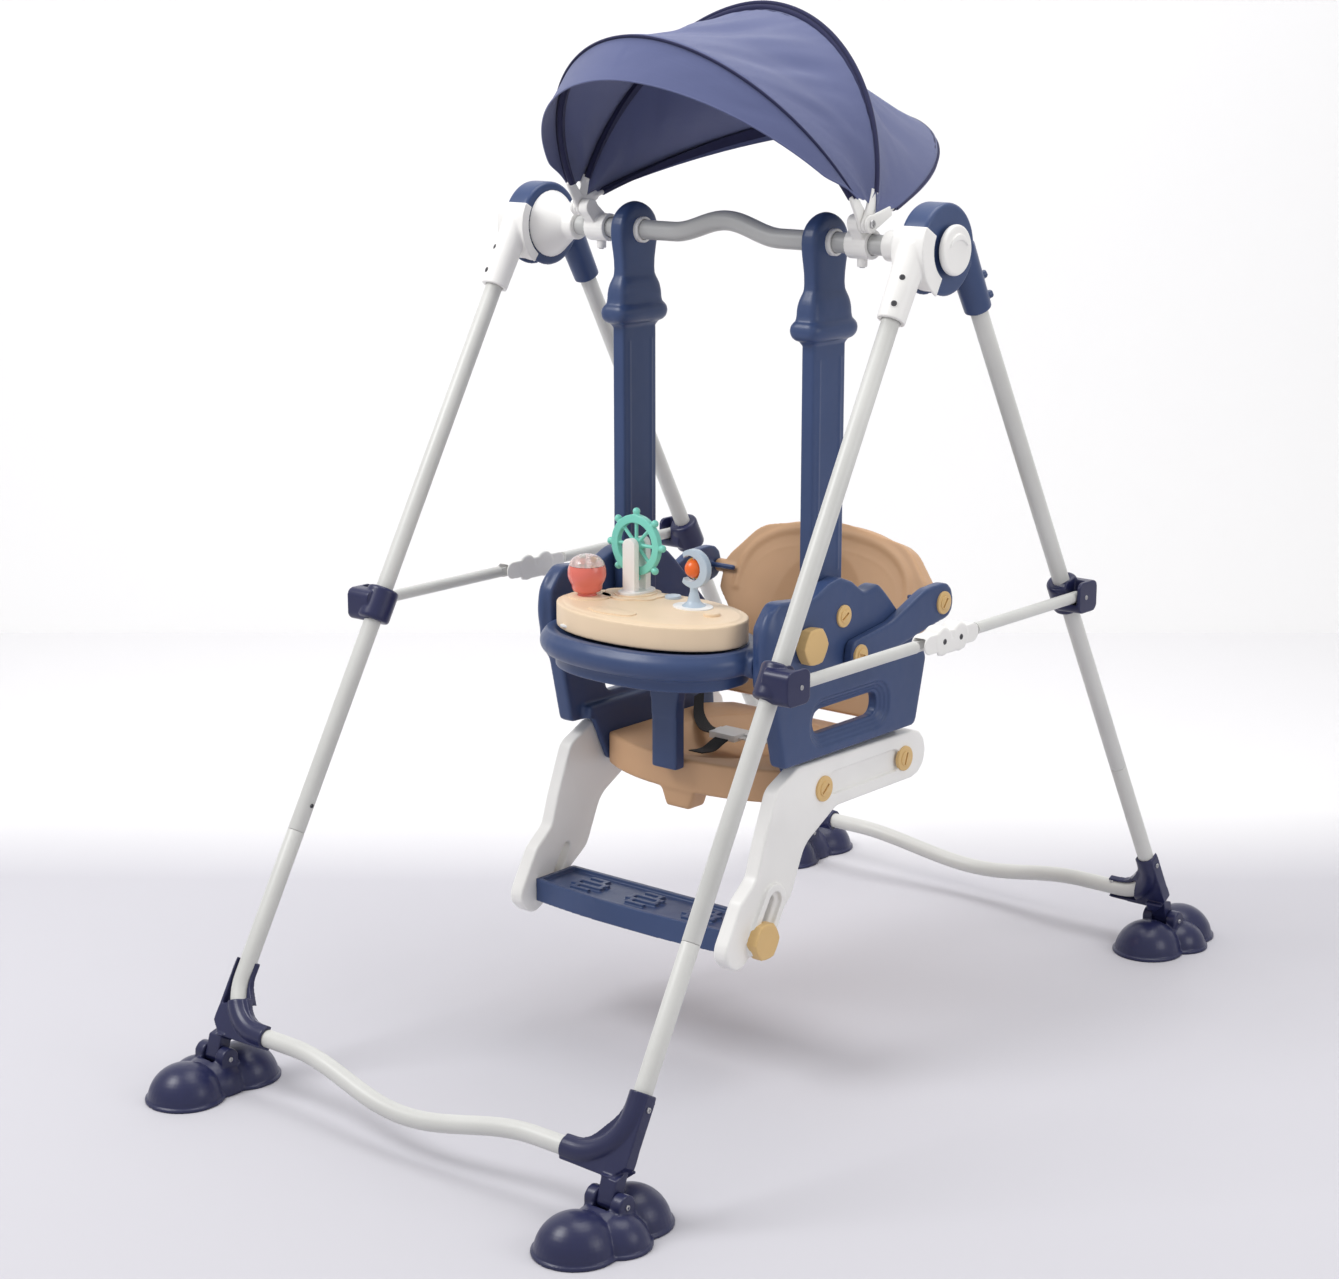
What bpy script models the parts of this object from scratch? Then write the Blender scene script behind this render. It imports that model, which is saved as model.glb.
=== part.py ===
"""Folding baby swing chair: an A-frame with a canopy, a hanging seat, a play tray and a footrest.

Metres, +Z up. X runs across the swing, Y from its front to its back, and the origin is on the
floor at the middle of the frame. Left and right are those of the picture: left is -X.
"""
import math

import bmesh
import bpy
from mathutils import Matrix, Vector

GAP = 0.0004                # running and seating clearance between neighbouring pieces

# Frame
HUB_Z = 1.026               # height of the hub axis above the floor
LEG_OFFSET = 0.0474         # each leg's axis passes this far before or behind the hub axis
LEG_TOP_X = 0.314           # half spacing of the legs at hub height
LEG_FOOT_X = 0.323          # half spacing of the legs at the bottom corners
CORNER_Y = 0.583            # where the leg and rail axes would meet
CORNER_Z = 0.0756
LEG_R = 0.011               # steel leg and base tube, 22 mm across
LEG_WALL = 0.0014
SPIGOT_LENGTH = 0.045       # the base tube's reduced end, inside the upper leg tube
LEG_TOP_T = 0.034           # share of the leg at which the upper tube begins, inside its socket
SOCKET_END_T = 0.081
LEG_JOINT_T = 0.768
BEND_R = 0.062              # bend of the base tube in each corner
RAIL_DROP = 0.030           # how far the rail dips in the middle
RAIL_DIP_X = 0.200          # half length of the dip

# Hubs
DRUM_R = 0.0545
CORE_R = 0.0500
CORE_IN_X = 0.3015
CORE_OUT_X = 0.3265
RIM_T = 0.0050
SOCKET_R = 0.0178
HUB_PIN_R = 0.0100
BAND_OPEN_DEG = (150.0, 282.0)   # where the rear hub's band lets the front socket by
BUTTON_R = 0.0300
BUTTON_T = 0.0085
BUTTON_TRAVEL = 0.0040
STEM_R = 0.0055              # the button's stem, in a bore of the hub pin
STEM_DEPTH = 0.0060
SLEEVE_R = 0.0190           # boss of the front hub that runs through the rear hub's inner rim
CONE_R = 0.0400
CONE_LENGTH = 0.034
COLLAR_LENGTH = 0.016

# Top bar
BAR_R = 0.0125
BAR_RISE = 0.018            # the hump between the hangers
BAR_HUMP_X = 0.085

# Side braces, outboard of the legs
BRACE_X = 0.340
BRACE_R = 0.0075
BRACE_T = 0.4884            # share of the leg at which the clamps sit
BRACE_PIVOT_Y = 0.300
RIVET_Y = 0.0165
TUBE_END_Y = 0.064          # inner end of each brace tube, before its flat tongue
TONGUE_T = 0.0030
TONGUE_H = 0.0100
TONGUE_OFFSET = 0.0030      # the two tongues lie side by side in the coupler
RIVET_R = 0.0020
COUPLER_HALF = 0.058
COUPLER_H = 0.0135
COUPLER_WALL = 0.0026
CLAMP_R = 0.0185
CLAMP_H = 0.026
CLAMP_CHEEK = 0.0055
CLAMP_REACH = 0.0180

# Feet and corner brackets
FOOT_X = 0.321
FOOT_Y = 0.608
FOOT_DOME_R = 0.0465
FOOT_DOME_STEP = 0.0460
FOOT_DOME_H = 0.0450
FOOT_LIP_T = 0.0050
FOOT_PIN_Y = 0.600
FOOT_PIN_Z = 0.0400
FOOT_PIN_R = 0.0030
KNUCKLE_R = 0.0125
KNUCKLE_HALF = 0.0260
TONGUE_HALF = 0.0110
BRACKET_HALF = 0.0160       # half depth of the channel bracket, across the frame's plane
BRACKET_ARM = 0.082
BRACKET_WALL = 0.0035
# Which face, -1 to the front or 1 to the rear, is open over which stretch of tube, by end and side
BRACKET_OPEN = {
    (-1, 1): ((1, "leg"),), (-1, -1): ((-1, "leg"), (1, "rail")),
    (1, 1): ((-1, "rail"), (1, "leg")), (1, -1): ((-1, "leg"),),
}

# Canopy
CANOPY_Y = -0.020
CANOPY_Z = 1.052
CANOPY_HALF = 0.2285
CANOPY_POWER = 1.92
BOW_R = 0.0034
BOWS = (("front", -35.7, 0.264), ("middle", 18.9, 0.264), ("rear", 71.0, 0.350))
VISOR_DEG = -50.0
VISOR_REACH = 0.256
HEM_DEG = 73.5
SEAM_DEG = 0.5              # the two panels' distance from the middle bow
ARCH_STEPS = 20
FABRIC_T = 0.0030
PRONG_HALF = 0.0060
PRONG_LENGTH = 0.042
PLATE_R = 0.0110
PLATE_T = 0.0045
CANOPY_PIN_R = 0.0030
FABRIC_OUT = PLATE_T + GAP + 1.3 * (BOW_R + GAP) + FABRIC_T / 2
FABRIC_UP = 1.45 * (BOW_R + GAP) + FABRIC_T / 2
CLIP_INSET = 0.0205
CLIP_X = CANOPY_HALF - CLIP_INSET  # middle of each bar clip
CLIP_HALF = 0.0160
CLIP_R = 0.0180

# Hanging seat
HANGER_T = 0.0200
HANGER_W = 0.0560
EYE_R = 0.0350
HANGER_END_Z = 0.5050
COLLAR_TOP_Z = 0.966
ROLL_Z = 0.921
PANEL_IN_X = 0.1625
HANGER_X = PANEL_IN_X - GAP - HANGER_T / 2
PANEL_OUT_X = 0.1865
LUG_IN_X = 0.1490
LUG_T = 0.0100
PANEL_BOTTOM_Z = 0.392
LEG_EXT_T = 0.0210
FOOTREST_Z = 0.184
FOOTREST_Y = -0.157
FOOTREST_T = 0.030
FOOTREST_DEPTH = 0.076
FOOTREST_TRAVEL = 0.050
SCREW_R = 0.0060
KNOB_R = 0.0245
KNOB_T = 0.0150
TRAY_PIVOT_Y = -0.072
TRAY_PIVOT_Z = 0.5420
PAN_TOP_Z = 0.372
PAN_BOTTOM_Z = 0.328
PAN_FRONT_Y = -0.098
PAN_REAR_Y = 0.170
BACK_LEAN_DEG = 20.0
BACK_T = 0.026
BACK_WIDE = 0.1630
BACK_FOOT_Y = 0.152
BACK_FOOT_Z = 0.392
SHAFT_R = 0.0040            # screw shafts of the knobs and links
SLOT_DIRECTION = (0.525, 0.851)
TRAY_LUG_T = 0.0140
LINK_T = 0.0140
LINK_FRONT = (0.019, 0.515)
LINK_REAR = (0.202, 0.551)

# Tray and toys
TRAY_Y = -0.147
TRAY_A = 0.138
TRAY_B = 0.083
TRAY_TOP_Z = 0.575
RIM_A = 0.1515
RIM_B = 0.1030
RIM_Y = -0.147
RIM_TOP_Z = 0.5440
TRAY_BASE_Z = RIM_TOP_Z + GAP
RIM_LOW_Z = 0.5000
POST_W = 0.040
POST_D = 0.018
POST_Y = -0.115
POST_END_Z = 0.362
WHEEL_X = -0.064
WHEEL_Y = -0.100
WHEEL_Z = 0.640
WHEEL_R = 0.0385
WHEEL_RING = 0.0100          # how wide the wheel's ring is
WHEEL_HUB_HALF = 0.0060
AXLE_R = 0.0030
POST_R = 0.0100              # the two posts that the wheel turns between
POST_THICK = 0.0100
STAND_BASE_R = 0.0165
STAND_BASE_H = 0.0080
BALL_X = 0.040
BALL_Y = -0.112
BALL_Z = 0.625
BALL_R = 0.0115
DOME_X = -0.104
DOME_Y = -0.150
DOME_R = 0.0245
DOME_CUP_R = 0.0195          # the narrower cup under the rattle's ball
DOME_CUP_H = 0.0170

COLOURS = {
    "seat_blue": ((0.045, 0.075, 0.180), 0.38),
    "frame_navy": ((0.026, 0.028, 0.095), 0.35),
    "leg_grey": ((0.560, 0.570, 0.530), 0.40),
    "bar_grey": ((0.390, 0.400, 0.390), 0.42),
    "white": ((0.860, 0.860, 0.840), 0.35),
    "beige": ((0.610, 0.370, 0.220), 0.45),
    "tray_beige": ((0.740, 0.500, 0.330), 0.45),
    "knob_yellow": ((0.700, 0.470, 0.200), 0.40),
    "canopy_fabric": ((0.220, 0.240, 0.450), 0.85),
    "mint": ((0.210, 0.680, 0.560), 0.35),
    "coral": ((0.760, 0.170, 0.130), 0.25),
    "orange": ((0.880, 0.150, 0.015), 0.30),
    "pale_blue": ((0.480, 0.580, 0.680), 0.35),
}

for old in list(bpy.data.objects):
    bpy.data.objects.remove(old, do_unlink=True)

parts = bpy.data.collections.new("baby_swing_chair")
cutters = bpy.data.collections.new("cutters")
bpy.context.scene.collection.children.link(parts)
bpy.context.scene.collection.children.link(cutters)
materials = {}


def material(slot):
    if slot not in materials:
        colour, roughness = COLOURS[slot]
        made = bpy.data.materials.new(slot)
        made.use_nodes = True
        shader = made.node_tree.nodes["Principled BSDF"]
        shader.inputs["Base Color"].default_value = (*colour, 1.0)
        shader.inputs["Roughness"].default_value = roughness
        shader.inputs["Metallic"].default_value = 0.6 if slot in ("leg_grey", "bar_grey") else 0.0
        materials[slot] = made
    return materials[slot]


def evaluated_mesh(obj):
    """The object's mesh with its modifiers applied, welded, in the object's own space."""
    bpy.context.view_layer.update()
    graph = bpy.context.evaluated_depsgraph_get()
    mesh = bpy.data.meshes.new_from_object(obj.evaluated_get(graph), depsgraph=graph)
    work = bmesh.new()
    work.from_mesh(mesh)
    bmesh.ops.remove_doubles(work, verts=work.verts, dist=1e-6)
    work.to_mesh(mesh)
    work.free()
    return mesh


def face_out(mesh):
    work = bmesh.new()
    work.from_mesh(mesh)
    bmesh.ops.recalc_face_normals(work, faces=work.faces)
    work.to_mesh(mesh)
    work.free()


def solid(mesh, name="tool"):
    """A new hidden working solid; finish() turns one into a named part."""
    obj = bpy.data.objects.new(name, mesh)
    obj.hide_render = True
    obj.display_type = "WIRE"
    cutters.objects.link(obj)
    return obj


def from_curve(curve_object):
    mesh = evaluated_mesh(curve_object)
    face_out(mesh)
    made = solid(mesh)
    made.matrix_world = curve_object.matrix_world.copy()
    bpy.data.objects.remove(curve_object, do_unlink=True)
    return made


def box(low, high):
    work = bmesh.new()
    bmesh.ops.create_cube(work, size=1.0)
    low, high = Vector(low), Vector(high)
    for vert in work.verts:
        vert.co = (low + high) / 2 + Vector(a * b for a, b in zip(vert.co, high - low))
    mesh = bpy.data.meshes.new("box")
    work.to_mesh(mesh)
    work.free()
    return solid(mesh)


def rod(start, end, radius, sides=14, end_radius=None):
    """A cylinder, or a cone with another radius at its end, between two points."""
    start, end = Vector(start), Vector(end)
    work = bmesh.new()
    bmesh.ops.create_cone(work, cap_ends=True, segments=sides, radius1=radius,
                          radius2=radius if end_radius is None else end_radius,
                          depth=(end - start).length)
    turn = Vector((0, 0, 1)).rotation_difference(end - start).to_matrix().to_4x4()
    bmesh.ops.transform(work, matrix=Matrix.Translation((start + end) / 2) @ turn, verts=work.verts)
    mesh = bpy.data.meshes.new("rod")
    work.to_mesh(mesh)
    work.free()
    return solid(mesh)


def ball(centre, radii, rings=10, sides=16):
    work = bmesh.new()
    bmesh.ops.create_uvsphere(work, u_segments=sides, v_segments=rings, radius=1.0)
    for vert in work.verts:
        vert.co = Vector(centre) + Vector(a * b for a, b in zip(vert.co, radii))
    mesh = bpy.data.meshes.new("ball")
    work.to_mesh(mesh)
    work.free()
    return solid(mesh)


def rounded(corners, steps=4):
    """Points of an outline from corners given as (u, v, radius)."""
    points = []
    count = len(corners)
    for index, (u, v, radius) in enumerate(corners):
        here = Vector((u, v))
        back = Vector(corners[index - 1][:2]) - here
        ahead = Vector(corners[(index + 1) % count][:2]) - here
        if radius <= 0:
            points.append(here)
            continue
        half = back.angle(ahead) / 2
        reach = min(radius / math.tan(half), 0.48 * back.length, 0.48 * ahead.length)
        round_r = reach * math.tan(half)
        first = here + back.normalized() * reach
        last = here + ahead.normalized() * reach
        middle = here + (back.normalized() + ahead.normalized()).normalized() * (round_r / math.sin(half))
        start = math.atan2(*(first - middle).yx)
        sweep = math.atan2(*(last - middle).yx) - start
        sweep = (sweep + math.pi) % (2 * math.pi) - math.pi
        for step in range(steps + 1):
            angle = start + sweep * step / steps
            points.append(middle + round_r * Vector((math.cos(angle), math.sin(angle))))
    return points


AXES = {
    "x": Matrix(((0, 0, 1, 0), (1, 0, 0, 0), (0, 1, 0, 0), (0, 0, 0, 1))),    # outline in (y, z)
    "y": Matrix(((1, 0, 0, 0), (0, 0, -1, 0), (0, 1, 0, 0), (0, 0, 0, 1))),   # outline in (x, z)
    "z": Matrix.Identity(4),                                                  # outline in (x, y)
}


def plate(outline, low, high, axis="x", holes=(), bevel=0.0, segments=2):
    """A flat outline, with holes, extruded along an axis from low to high, its edges rounded."""
    curve = bpy.data.curves.new("outline", "CURVE")
    curve.dimensions = "2D"
    curve.fill_mode = "BOTH"
    curve.extrude = (high - low) / 2
    for points in (outline, *holes):
        spline = curve.splines.new("POLY")
        spline.points.add(len(points) - 1)
        for item, point in zip(spline.points, points):
            item.co = (point[0], point[1], 0, 1)
        spline.use_cyclic_u = True
    obj = bpy.data.objects.new("outline", curve)
    cutters.objects.link(obj)
    middle = (low + high) / 2
    shift = {"x": (middle, 0, 0), "y": (0, middle, 0), "z": (0, 0, middle)}[axis]
    obj.matrix_world = Matrix.Translation(shift) @ AXES[axis]
    made = from_curve(obj)
    settle(made)
    if bevel:
        round_edges(made, bevel, segments)
    return made


def settle(obj):
    """Moves the object's own transform into its mesh."""
    obj.data.transform(obj.matrix_world)
    obj.matrix_world = Matrix.Identity(4)


def round_edges(obj, width, segments=2, angle=35.0):
    modifier = obj.modifiers.new("round", "BEVEL")
    modifier.width = width
    modifier.segments = segments
    modifier.limit_method = "ANGLE"
    modifier.angle_limit = math.radians(angle)
    modifier.miter_outer = "MITER_ARC"
    obj.data = evaluated_mesh(obj)
    obj.modifiers.clear()
    return obj


def tube(points, radius, resolution=2, closed=False):
    """A round bar along a line of points."""
    curve = bpy.data.curves.new("run", "CURVE")
    curve.dimensions = "3D"
    curve.bevel_depth = radius
    curve.bevel_resolution = resolution
    curve.use_fill_caps = not closed
    spline = curve.splines.new("POLY")
    spline.points.add(len(points) - 1)
    for item, point in zip(spline.points, points):
        item.co = (*point, 1)
    spline.use_cyclic_u = closed
    obj = bpy.data.objects.new("run", curve)
    cutters.objects.link(obj)
    return from_curve(obj)


def boolean(base, others, operation):
    for other in others:
        modifier = base.modifiers.new("boolean", "BOOLEAN")
        modifier.object = other
        modifier.operation = operation
        modifier.solver = "EXACT"
        base.data = evaluated_mesh(base)
        base.modifiers.clear()
        bpy.data.objects.remove(other, do_unlink=True)
    return base


def join(base, *others):
    return boolean(base, others, "UNION")


def cut(base, *others):
    return boolean(base, others, "DIFFERENCE")


def mirrored(obj, side):
    """The solid as it is for the right side, or turned over for the left one."""
    if side < 0:
        flip_axis(obj, 0)
    return obj


def flip_axis(obj, axis):
    work = bmesh.new()
    work.from_mesh(obj.data)
    for vert in work.verts:
        vert.co[axis] = -vert.co[axis]
    bmesh.ops.reverse_faces(work, faces=work.faces)
    work.to_mesh(obj.data)
    work.free()


def finish(obj, name, slot, origin=(0, 0, 0), parent=None):
    """Names a working solid as a part of the chair and puts its origin on its joint's axis."""
    obj.name = name
    obj.data.name = name
    obj.data.transform(Matrix.Translation(-Vector(origin)))
    obj.location = origin
    obj.hide_render = False
    obj.display_type = "TEXTURED"
    obj.data.materials.clear()
    obj.data.materials.append(material(slot))
    obj.data.shade_smooth()
    obj.data.set_sharp_from_angle(angle=math.radians(32))
    cutters.objects.unlink(obj)
    parts.objects.link(obj)
    if parent is not None:
        obj.parent = parent
        obj.matrix_parent_inverse = Matrix.Translation(parent.location).inverted()
    return obj


def empty(name, location):
    made = bpy.data.objects.new(name, None)
    made.location = location
    parts.objects.link(made)
    return made


SIDES = (("left", -1), ("right", 1))
ENDS = (("front", -1), ("rear", 1))
hub_axis = empty("hub_axis", (0, 0, HUB_Z))


def leg_point(side, end, share):
    top = Vector((side * LEG_TOP_X, end * LEG_OFFSET, HUB_Z))
    corner = Vector((side * LEG_FOOT_X, end * CORNER_Y, CORNER_Z))
    return top.lerp(corner, share)


def leg_direction(side, end):
    return (leg_point(side, end, 1) - leg_point(side, end, 0)).normalized()


# Upper leg tubes and bent base tubes

def upper_leg(side, end):
    start = leg_point(side, end, LEG_TOP_T)
    stop = leg_point(side, end, LEG_JOINT_T)
    bore_start = stop - leg_direction(side, end) * (SPIGOT_LENGTH + 0.01)
    bore_stop = stop + leg_direction(side, end) * 0.01
    return cut(rod(start, stop, LEG_R), rod(bore_start, bore_stop, LEG_R - LEG_WALL))


def rail_depth(x):
    """How far the rail hangs below its straight ends at a place across the swing."""
    if abs(x) >= RAIL_DIP_X:
        return 0.0
    return RAIL_DROP * (0.5 + 0.5 * math.cos(math.pi * x / RAIL_DIP_X))


def corner_bend(end, steps=6):
    """Points of the base tube's bend in the right corner, from the leg to the rail."""
    down = leg_direction(1, end)
    corner = leg_point(1, end, 1)
    inward = Vector((-1, 0, 0))
    turn = down.angle(inward)
    start = corner - down * BEND_R * math.tan(turn / 2)
    normal = (inward - inward.project(down)).normalized()
    points = []
    for step in range(steps + 1):
        angle = turn * step / steps
        points.append(start + normal * BEND_R * (1 - math.cos(angle)) + down * BEND_R * math.sin(angle))
    return points


def base_tube(end):
    """One U of tube: two lower legs and the rail between them, which lies in the legs' plane."""
    down = leg_direction(1, end)
    slope = Vector((0, down.y, down.z)).normalized()
    corner = leg_point(1, end, 1)
    rail = []
    dip_steps = 10
    for step in range(dip_steps + 1):
        x = RAIL_DIP_X * (1 - 2 * step / dip_steps)
        rail.append(Vector((x, corner.y, corner.z)) + slope * rail_depth(x))
    right = [leg_point(1, end, LEG_JOINT_T) + down * GAP, *corner_bend(end)]
    left = [Vector((-point.x, point.y, point.z)) for point in reversed(right)]
    made = tube(right + rail + left, LEG_R)
    for side in (1, -1):
        along = leg_direction(side, end)
        shoulder = leg_point(side, end, LEG_JOINT_T) + along * 0.01
        tip = leg_point(side, end, LEG_JOINT_T) - along * SPIGOT_LENGTH
        join(made, rod(shoulder, tip, LEG_R - LEG_WALL - GAP, sides=12))
    return made


# Hubs

def drum(radius, low, high, sides=28):
    return rod((low, 0, HUB_Z), (high, 0, HUB_Z), radius, sides)


def leg_socket(end):
    """The socket that holds a leg tube, on the right side."""
    along = leg_direction(1, end)
    start = leg_point(1, end, 0.004)
    stop = leg_point(1, end, SOCKET_END_T)
    made = rod(start, stop, SOCKET_R + 0.0012, 16, SOCKET_R - 0.0008)
    bore = rod(leg_point(1, end, LEG_TOP_T) - along * GAP, stop + along * 0.01, LEG_R + GAP, 16)
    return made, bore


def front_hub(side):
    """White hub of the front frame: core, leg socket, hub pin, and the cone that holds the bar."""
    rim_in = CORE_IN_X - GAP - RIM_T
    made = drum(CORE_R, CORE_IN_X, CORE_OUT_X)
    socket, bore = leg_socket(-1)
    cut(socket, drum(DRUM_R + 3 * GAP, 0.25, CORE_IN_X), drum(DRUM_R + 3 * GAP, CORE_OUT_X, 0.36))
    pin = drum(HUB_PIN_R, CORE_OUT_X - 0.002, CORE_OUT_X + RIM_T + GAP, 16)
    boss = drum(SLEEVE_R, rim_in - 0.004, CORE_IN_X + 0.002, 24)
    cone_end = rim_in - GAP - CONE_LENGTH
    cone = rod((rim_in - GAP, 0, HUB_Z), (cone_end, 0, HUB_Z), CONE_R, 24, SLEEVE_R)
    collar = drum(SLEEVE_R - 0.001, cone_end - COLLAR_LENGTH, cone_end + 0.002, 24)
    join(made, socket, pin, boss, cone, collar)
    cut(made, bore, drum(BAR_R + GAP, 0.15, CORE_OUT_X - 0.008, 20),
        drum(STEM_R + GAP, CORE_OUT_X - STEM_DEPTH, CORE_OUT_X + 0.02, 14))
    return mirrored(made, side)


def wedge(from_deg, to_deg, radius, low, high):
    """A sector about the hub axis, for cutting the rear hub's band open."""
    steps = 8
    points = [(0.0, HUB_Z)]
    for step in range(steps + 1):
        angle = math.radians(from_deg + (to_deg - from_deg) * step / steps)
        points.append((radius * math.cos(angle), HUB_Z + radius * math.sin(angle)))
    return plate(points, low, high)


def rear_hub(side):
    """Blue hub of the rear frame: two rims joined by a band over the core, and a leg socket."""
    rim_in = CORE_IN_X - GAP - RIM_T
    rim_out = CORE_OUT_X + GAP + RIM_T
    made = round_edges(drum(DRUM_R, rim_in, rim_out), 0.0025, 1)
    core = drum(CORE_R + 2 * GAP, CORE_IN_X - GAP, CORE_OUT_X + GAP)
    cut(made, core, wedge(*BAND_OPEN_DEG, 0.09, CORE_IN_X - GAP, CORE_OUT_X + GAP))
    socket, bore = leg_socket(1)
    cut(socket, drum(CORE_R + 2 * GAP, CORE_IN_X - 0.03, CORE_OUT_X + 0.03))
    join(made, socket)
    cut(made, bore, drum(SLEEVE_R + GAP, rim_in - 0.01, CORE_IN_X + 0.001, 24),
        drum(HUB_PIN_R + GAP, CORE_OUT_X - 0.001, rim_out + 0.01, 16))
    return mirrored(made, side)


def hub_button(side):
    start = CORE_OUT_X + RIM_T + GAP + BUTTON_TRAVEL + GAP
    body = round_edges(drum(BUTTON_R, start, start + BUTTON_T, 24), 0.003, 1)
    face = start + BUTTON_T
    grip = box((face - 0.0005, -0.0035, HUB_Z - 0.017), (face + 0.003, 0.0035, HUB_Z + 0.017))
    stem_end = CORE_OUT_X - STEM_DEPTH + BUTTON_TRAVEL + 2 * GAP
    return mirrored(join(body, grip, drum(STEM_R, stem_end, start + 0.002, 14)), side)


# Top bar

def bar_height(x):
    if abs(x) >= BAR_HUMP_X:
        return 0.0
    return BAR_RISE * (0.5 + 0.5 * math.cos(math.pi * x / BAR_HUMP_X))


def top_bar():
    end = CORE_OUT_X - 0.008 - GAP
    steps = 14
    hump = [BAR_HUMP_X * (2 * step / steps - 1) for step in range(steps + 1)]
    line = [-end, *hump, end]
    return tube([(x, 0, HUB_Z + bar_height(x)) for x in line], BAR_R)


# Feet and corner brackets

def foot(side, end):
    """Foot shell of two big domes and a small outer lobe, with the knuckle for the bracket's pin."""
    made = None
    for dx, dy, size in ((0.0, FOOT_DOME_STEP, 1.0), (0.0, -FOOT_DOME_STEP, 1.0), (0.026, 0.004, 0.62)):
        x, y = FOOT_X + dx, end * (FOOT_Y + dy)
        radius = FOOT_DOME_R * size
        dome = ball((x, y, 0.0), (radius, radius, FOOT_DOME_H * size), 8, 12)
        lip = rod((x, y, 0.0), (x, y, FOOT_LIP_T), radius + 0.003, 12)
        join(dome, lip)
        made = dome if made is None else join(made, dome)
    cut(made, box((-1, -1, -0.2), (1, 1, 0)))
    pin_x = LEG_FOOT_X
    y = end * FOOT_PIN_Y
    knuckle = rod((pin_x - KNUCKLE_HALF, y, FOOT_PIN_Z), (pin_x + KNUCKLE_HALF, y, FOOT_PIN_Z), KNUCKLE_R, 16)
    pedestal = box((pin_x - KNUCKLE_HALF + 0.0002, y - KNUCKLE_R + 0.0002, 0.012),
                   (pin_x + KNUCKLE_HALF - 0.0002, y + KNUCKLE_R - 0.0002, FOOT_PIN_Z))
    join(made, knuckle, pedestal)
    slot_half = TONGUE_HALF + GAP
    clear = KNUCKLE_R + 0.004
    cut(made, box((pin_x - slot_half, y - clear, FOOT_PIN_Z - KNUCKLE_R),
                  (pin_x + slot_half, y + clear, 0.2)))
    cut(made, rod((pin_x, y, FOOT_PIN_Z), (pin_x + 0.1, y, FOOT_PIN_Z), FOOT_PIN_R + GAP, 10))
    return mirrored(made, side)


def in_frame_plane(end, along_x, down):
    """A point of the leg plane: across the swing, and down the slope from the rail's level."""
    slope = leg_direction(1, end)
    slope = Vector((0, slope.y, slope.z)).normalized()
    return Vector((along_x, end * CORNER_Y, CORNER_Z)) + slope * down


def in_plane(obj, end):
    """Lays a solid made in the XZ plane into the leg plane, with its height measured from the rail."""
    lean = math.atan2(CORNER_Y - LEG_OFFSET, HUB_Z - CORNER_Z)
    turn = Matrix.Rotation(end * lean, 4, "X")
    obj.data.transform(Matrix.Translation((0, end * CORNER_Y, CORNER_Z)) @ turn)
    return obj


def corner_bracket(side, end):
    """Navy bracket in the bend of the base tube, with the tongue and pin on which the foot tilts.

    Its spine runs outboard of the bend. Its faces are left open over the leg or the rail, as listed
    in BRACKET_OPEN, and the two brackets of one frame are not each other's mirror image in that.
    """
    out = LEG_FOOT_X + LEG_R + BRACKET_WALL
    under = -LEG_R - BRACKET_WALL
    inside = LEG_FOOT_X - LEG_R - 0.0012
    outline = rounded([
        (out - 0.0010, BRACKET_ARM, 0.002), (out + 0.0005, 0.0, 0.0), (out - 0.016, under - 0.0015, 0.012),
        (out - 0.092, under, 0.002), (out - 0.092, -under, 0.002), (out - 0.062, -under, 0.050),
        (inside - 0.0015, 0.055, 0.050), (inside, BRACKET_ARM, 0.002),
    ], 3)
    made = in_plane(plate(outline, -BRACKET_HALF, BRACKET_HALF, axis="y"), end)
    pin_x = LEG_FOOT_X
    tongue_r = KNUCKLE_R - 0.0028
    foot_pin = Vector((end * FOOT_PIN_Y, FOOT_PIN_Z))
    neck_top = in_frame_plane(end, 0, LEG_R + 0.002)
    neck = plate([(foot_pin.x - end * tongue_r * 0.9, foot_pin.y), (foot_pin.x + end * tongue_r, foot_pin.y),
                  (neck_top.y + end * 0.012, neck_top.z + 0.002),
                  (neck_top.y - end * 0.010, neck_top.z + 0.008)],
                 pin_x - TONGUE_HALF, pin_x + TONGUE_HALF)
    reach = TONGUE_HALF - 0.0002
    tongue = rod((pin_x - reach, *foot_pin), (pin_x + reach, *foot_pin), tongue_r, 14)
    join(neck, tongue)
    pin = rod((pin_x, *foot_pin), (pin_x + KNUCKLE_HALF + 0.0015, *foot_pin), FOOT_PIN_R, 10)
    join(made, neck, pin)
    leg = leg_point(1, end, 1) - leg_direction(1, end) * 0.2
    cut(made, tube([leg, *corner_bend(end), Vector((0.15, leg_point(1, end, 1).y, CORNER_Z))], LEG_R + GAP))
    for face, part_of_tube in BRACKET_OPEN[end, side]:
        low, high = sorted((0.0, face * 0.05))
        if part_of_tube == "leg":
            window = [(0.2, 0.075), (inside - 0.02, 0.040), (LEG_FOOT_X + LEG_R - 0.001, 0.022),
                      (LEG_FOOT_X + LEG_R - 0.001, 0.2), (0.2, 0.2)]
        else:
            window = [(0.2, 1 / 1000 - LEG_R), (inside - 0.022, 1 / 1000 - LEG_R), (inside - 0.012, 0.030),
                      (0.2, 0.060)]
        cut(made, in_plane(plate(window, low, high, axis="y"), end))
    return mirrored(made, side)


# Side braces

def clamp_point(end):
    return leg_point(1, end, BRACE_T)


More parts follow.
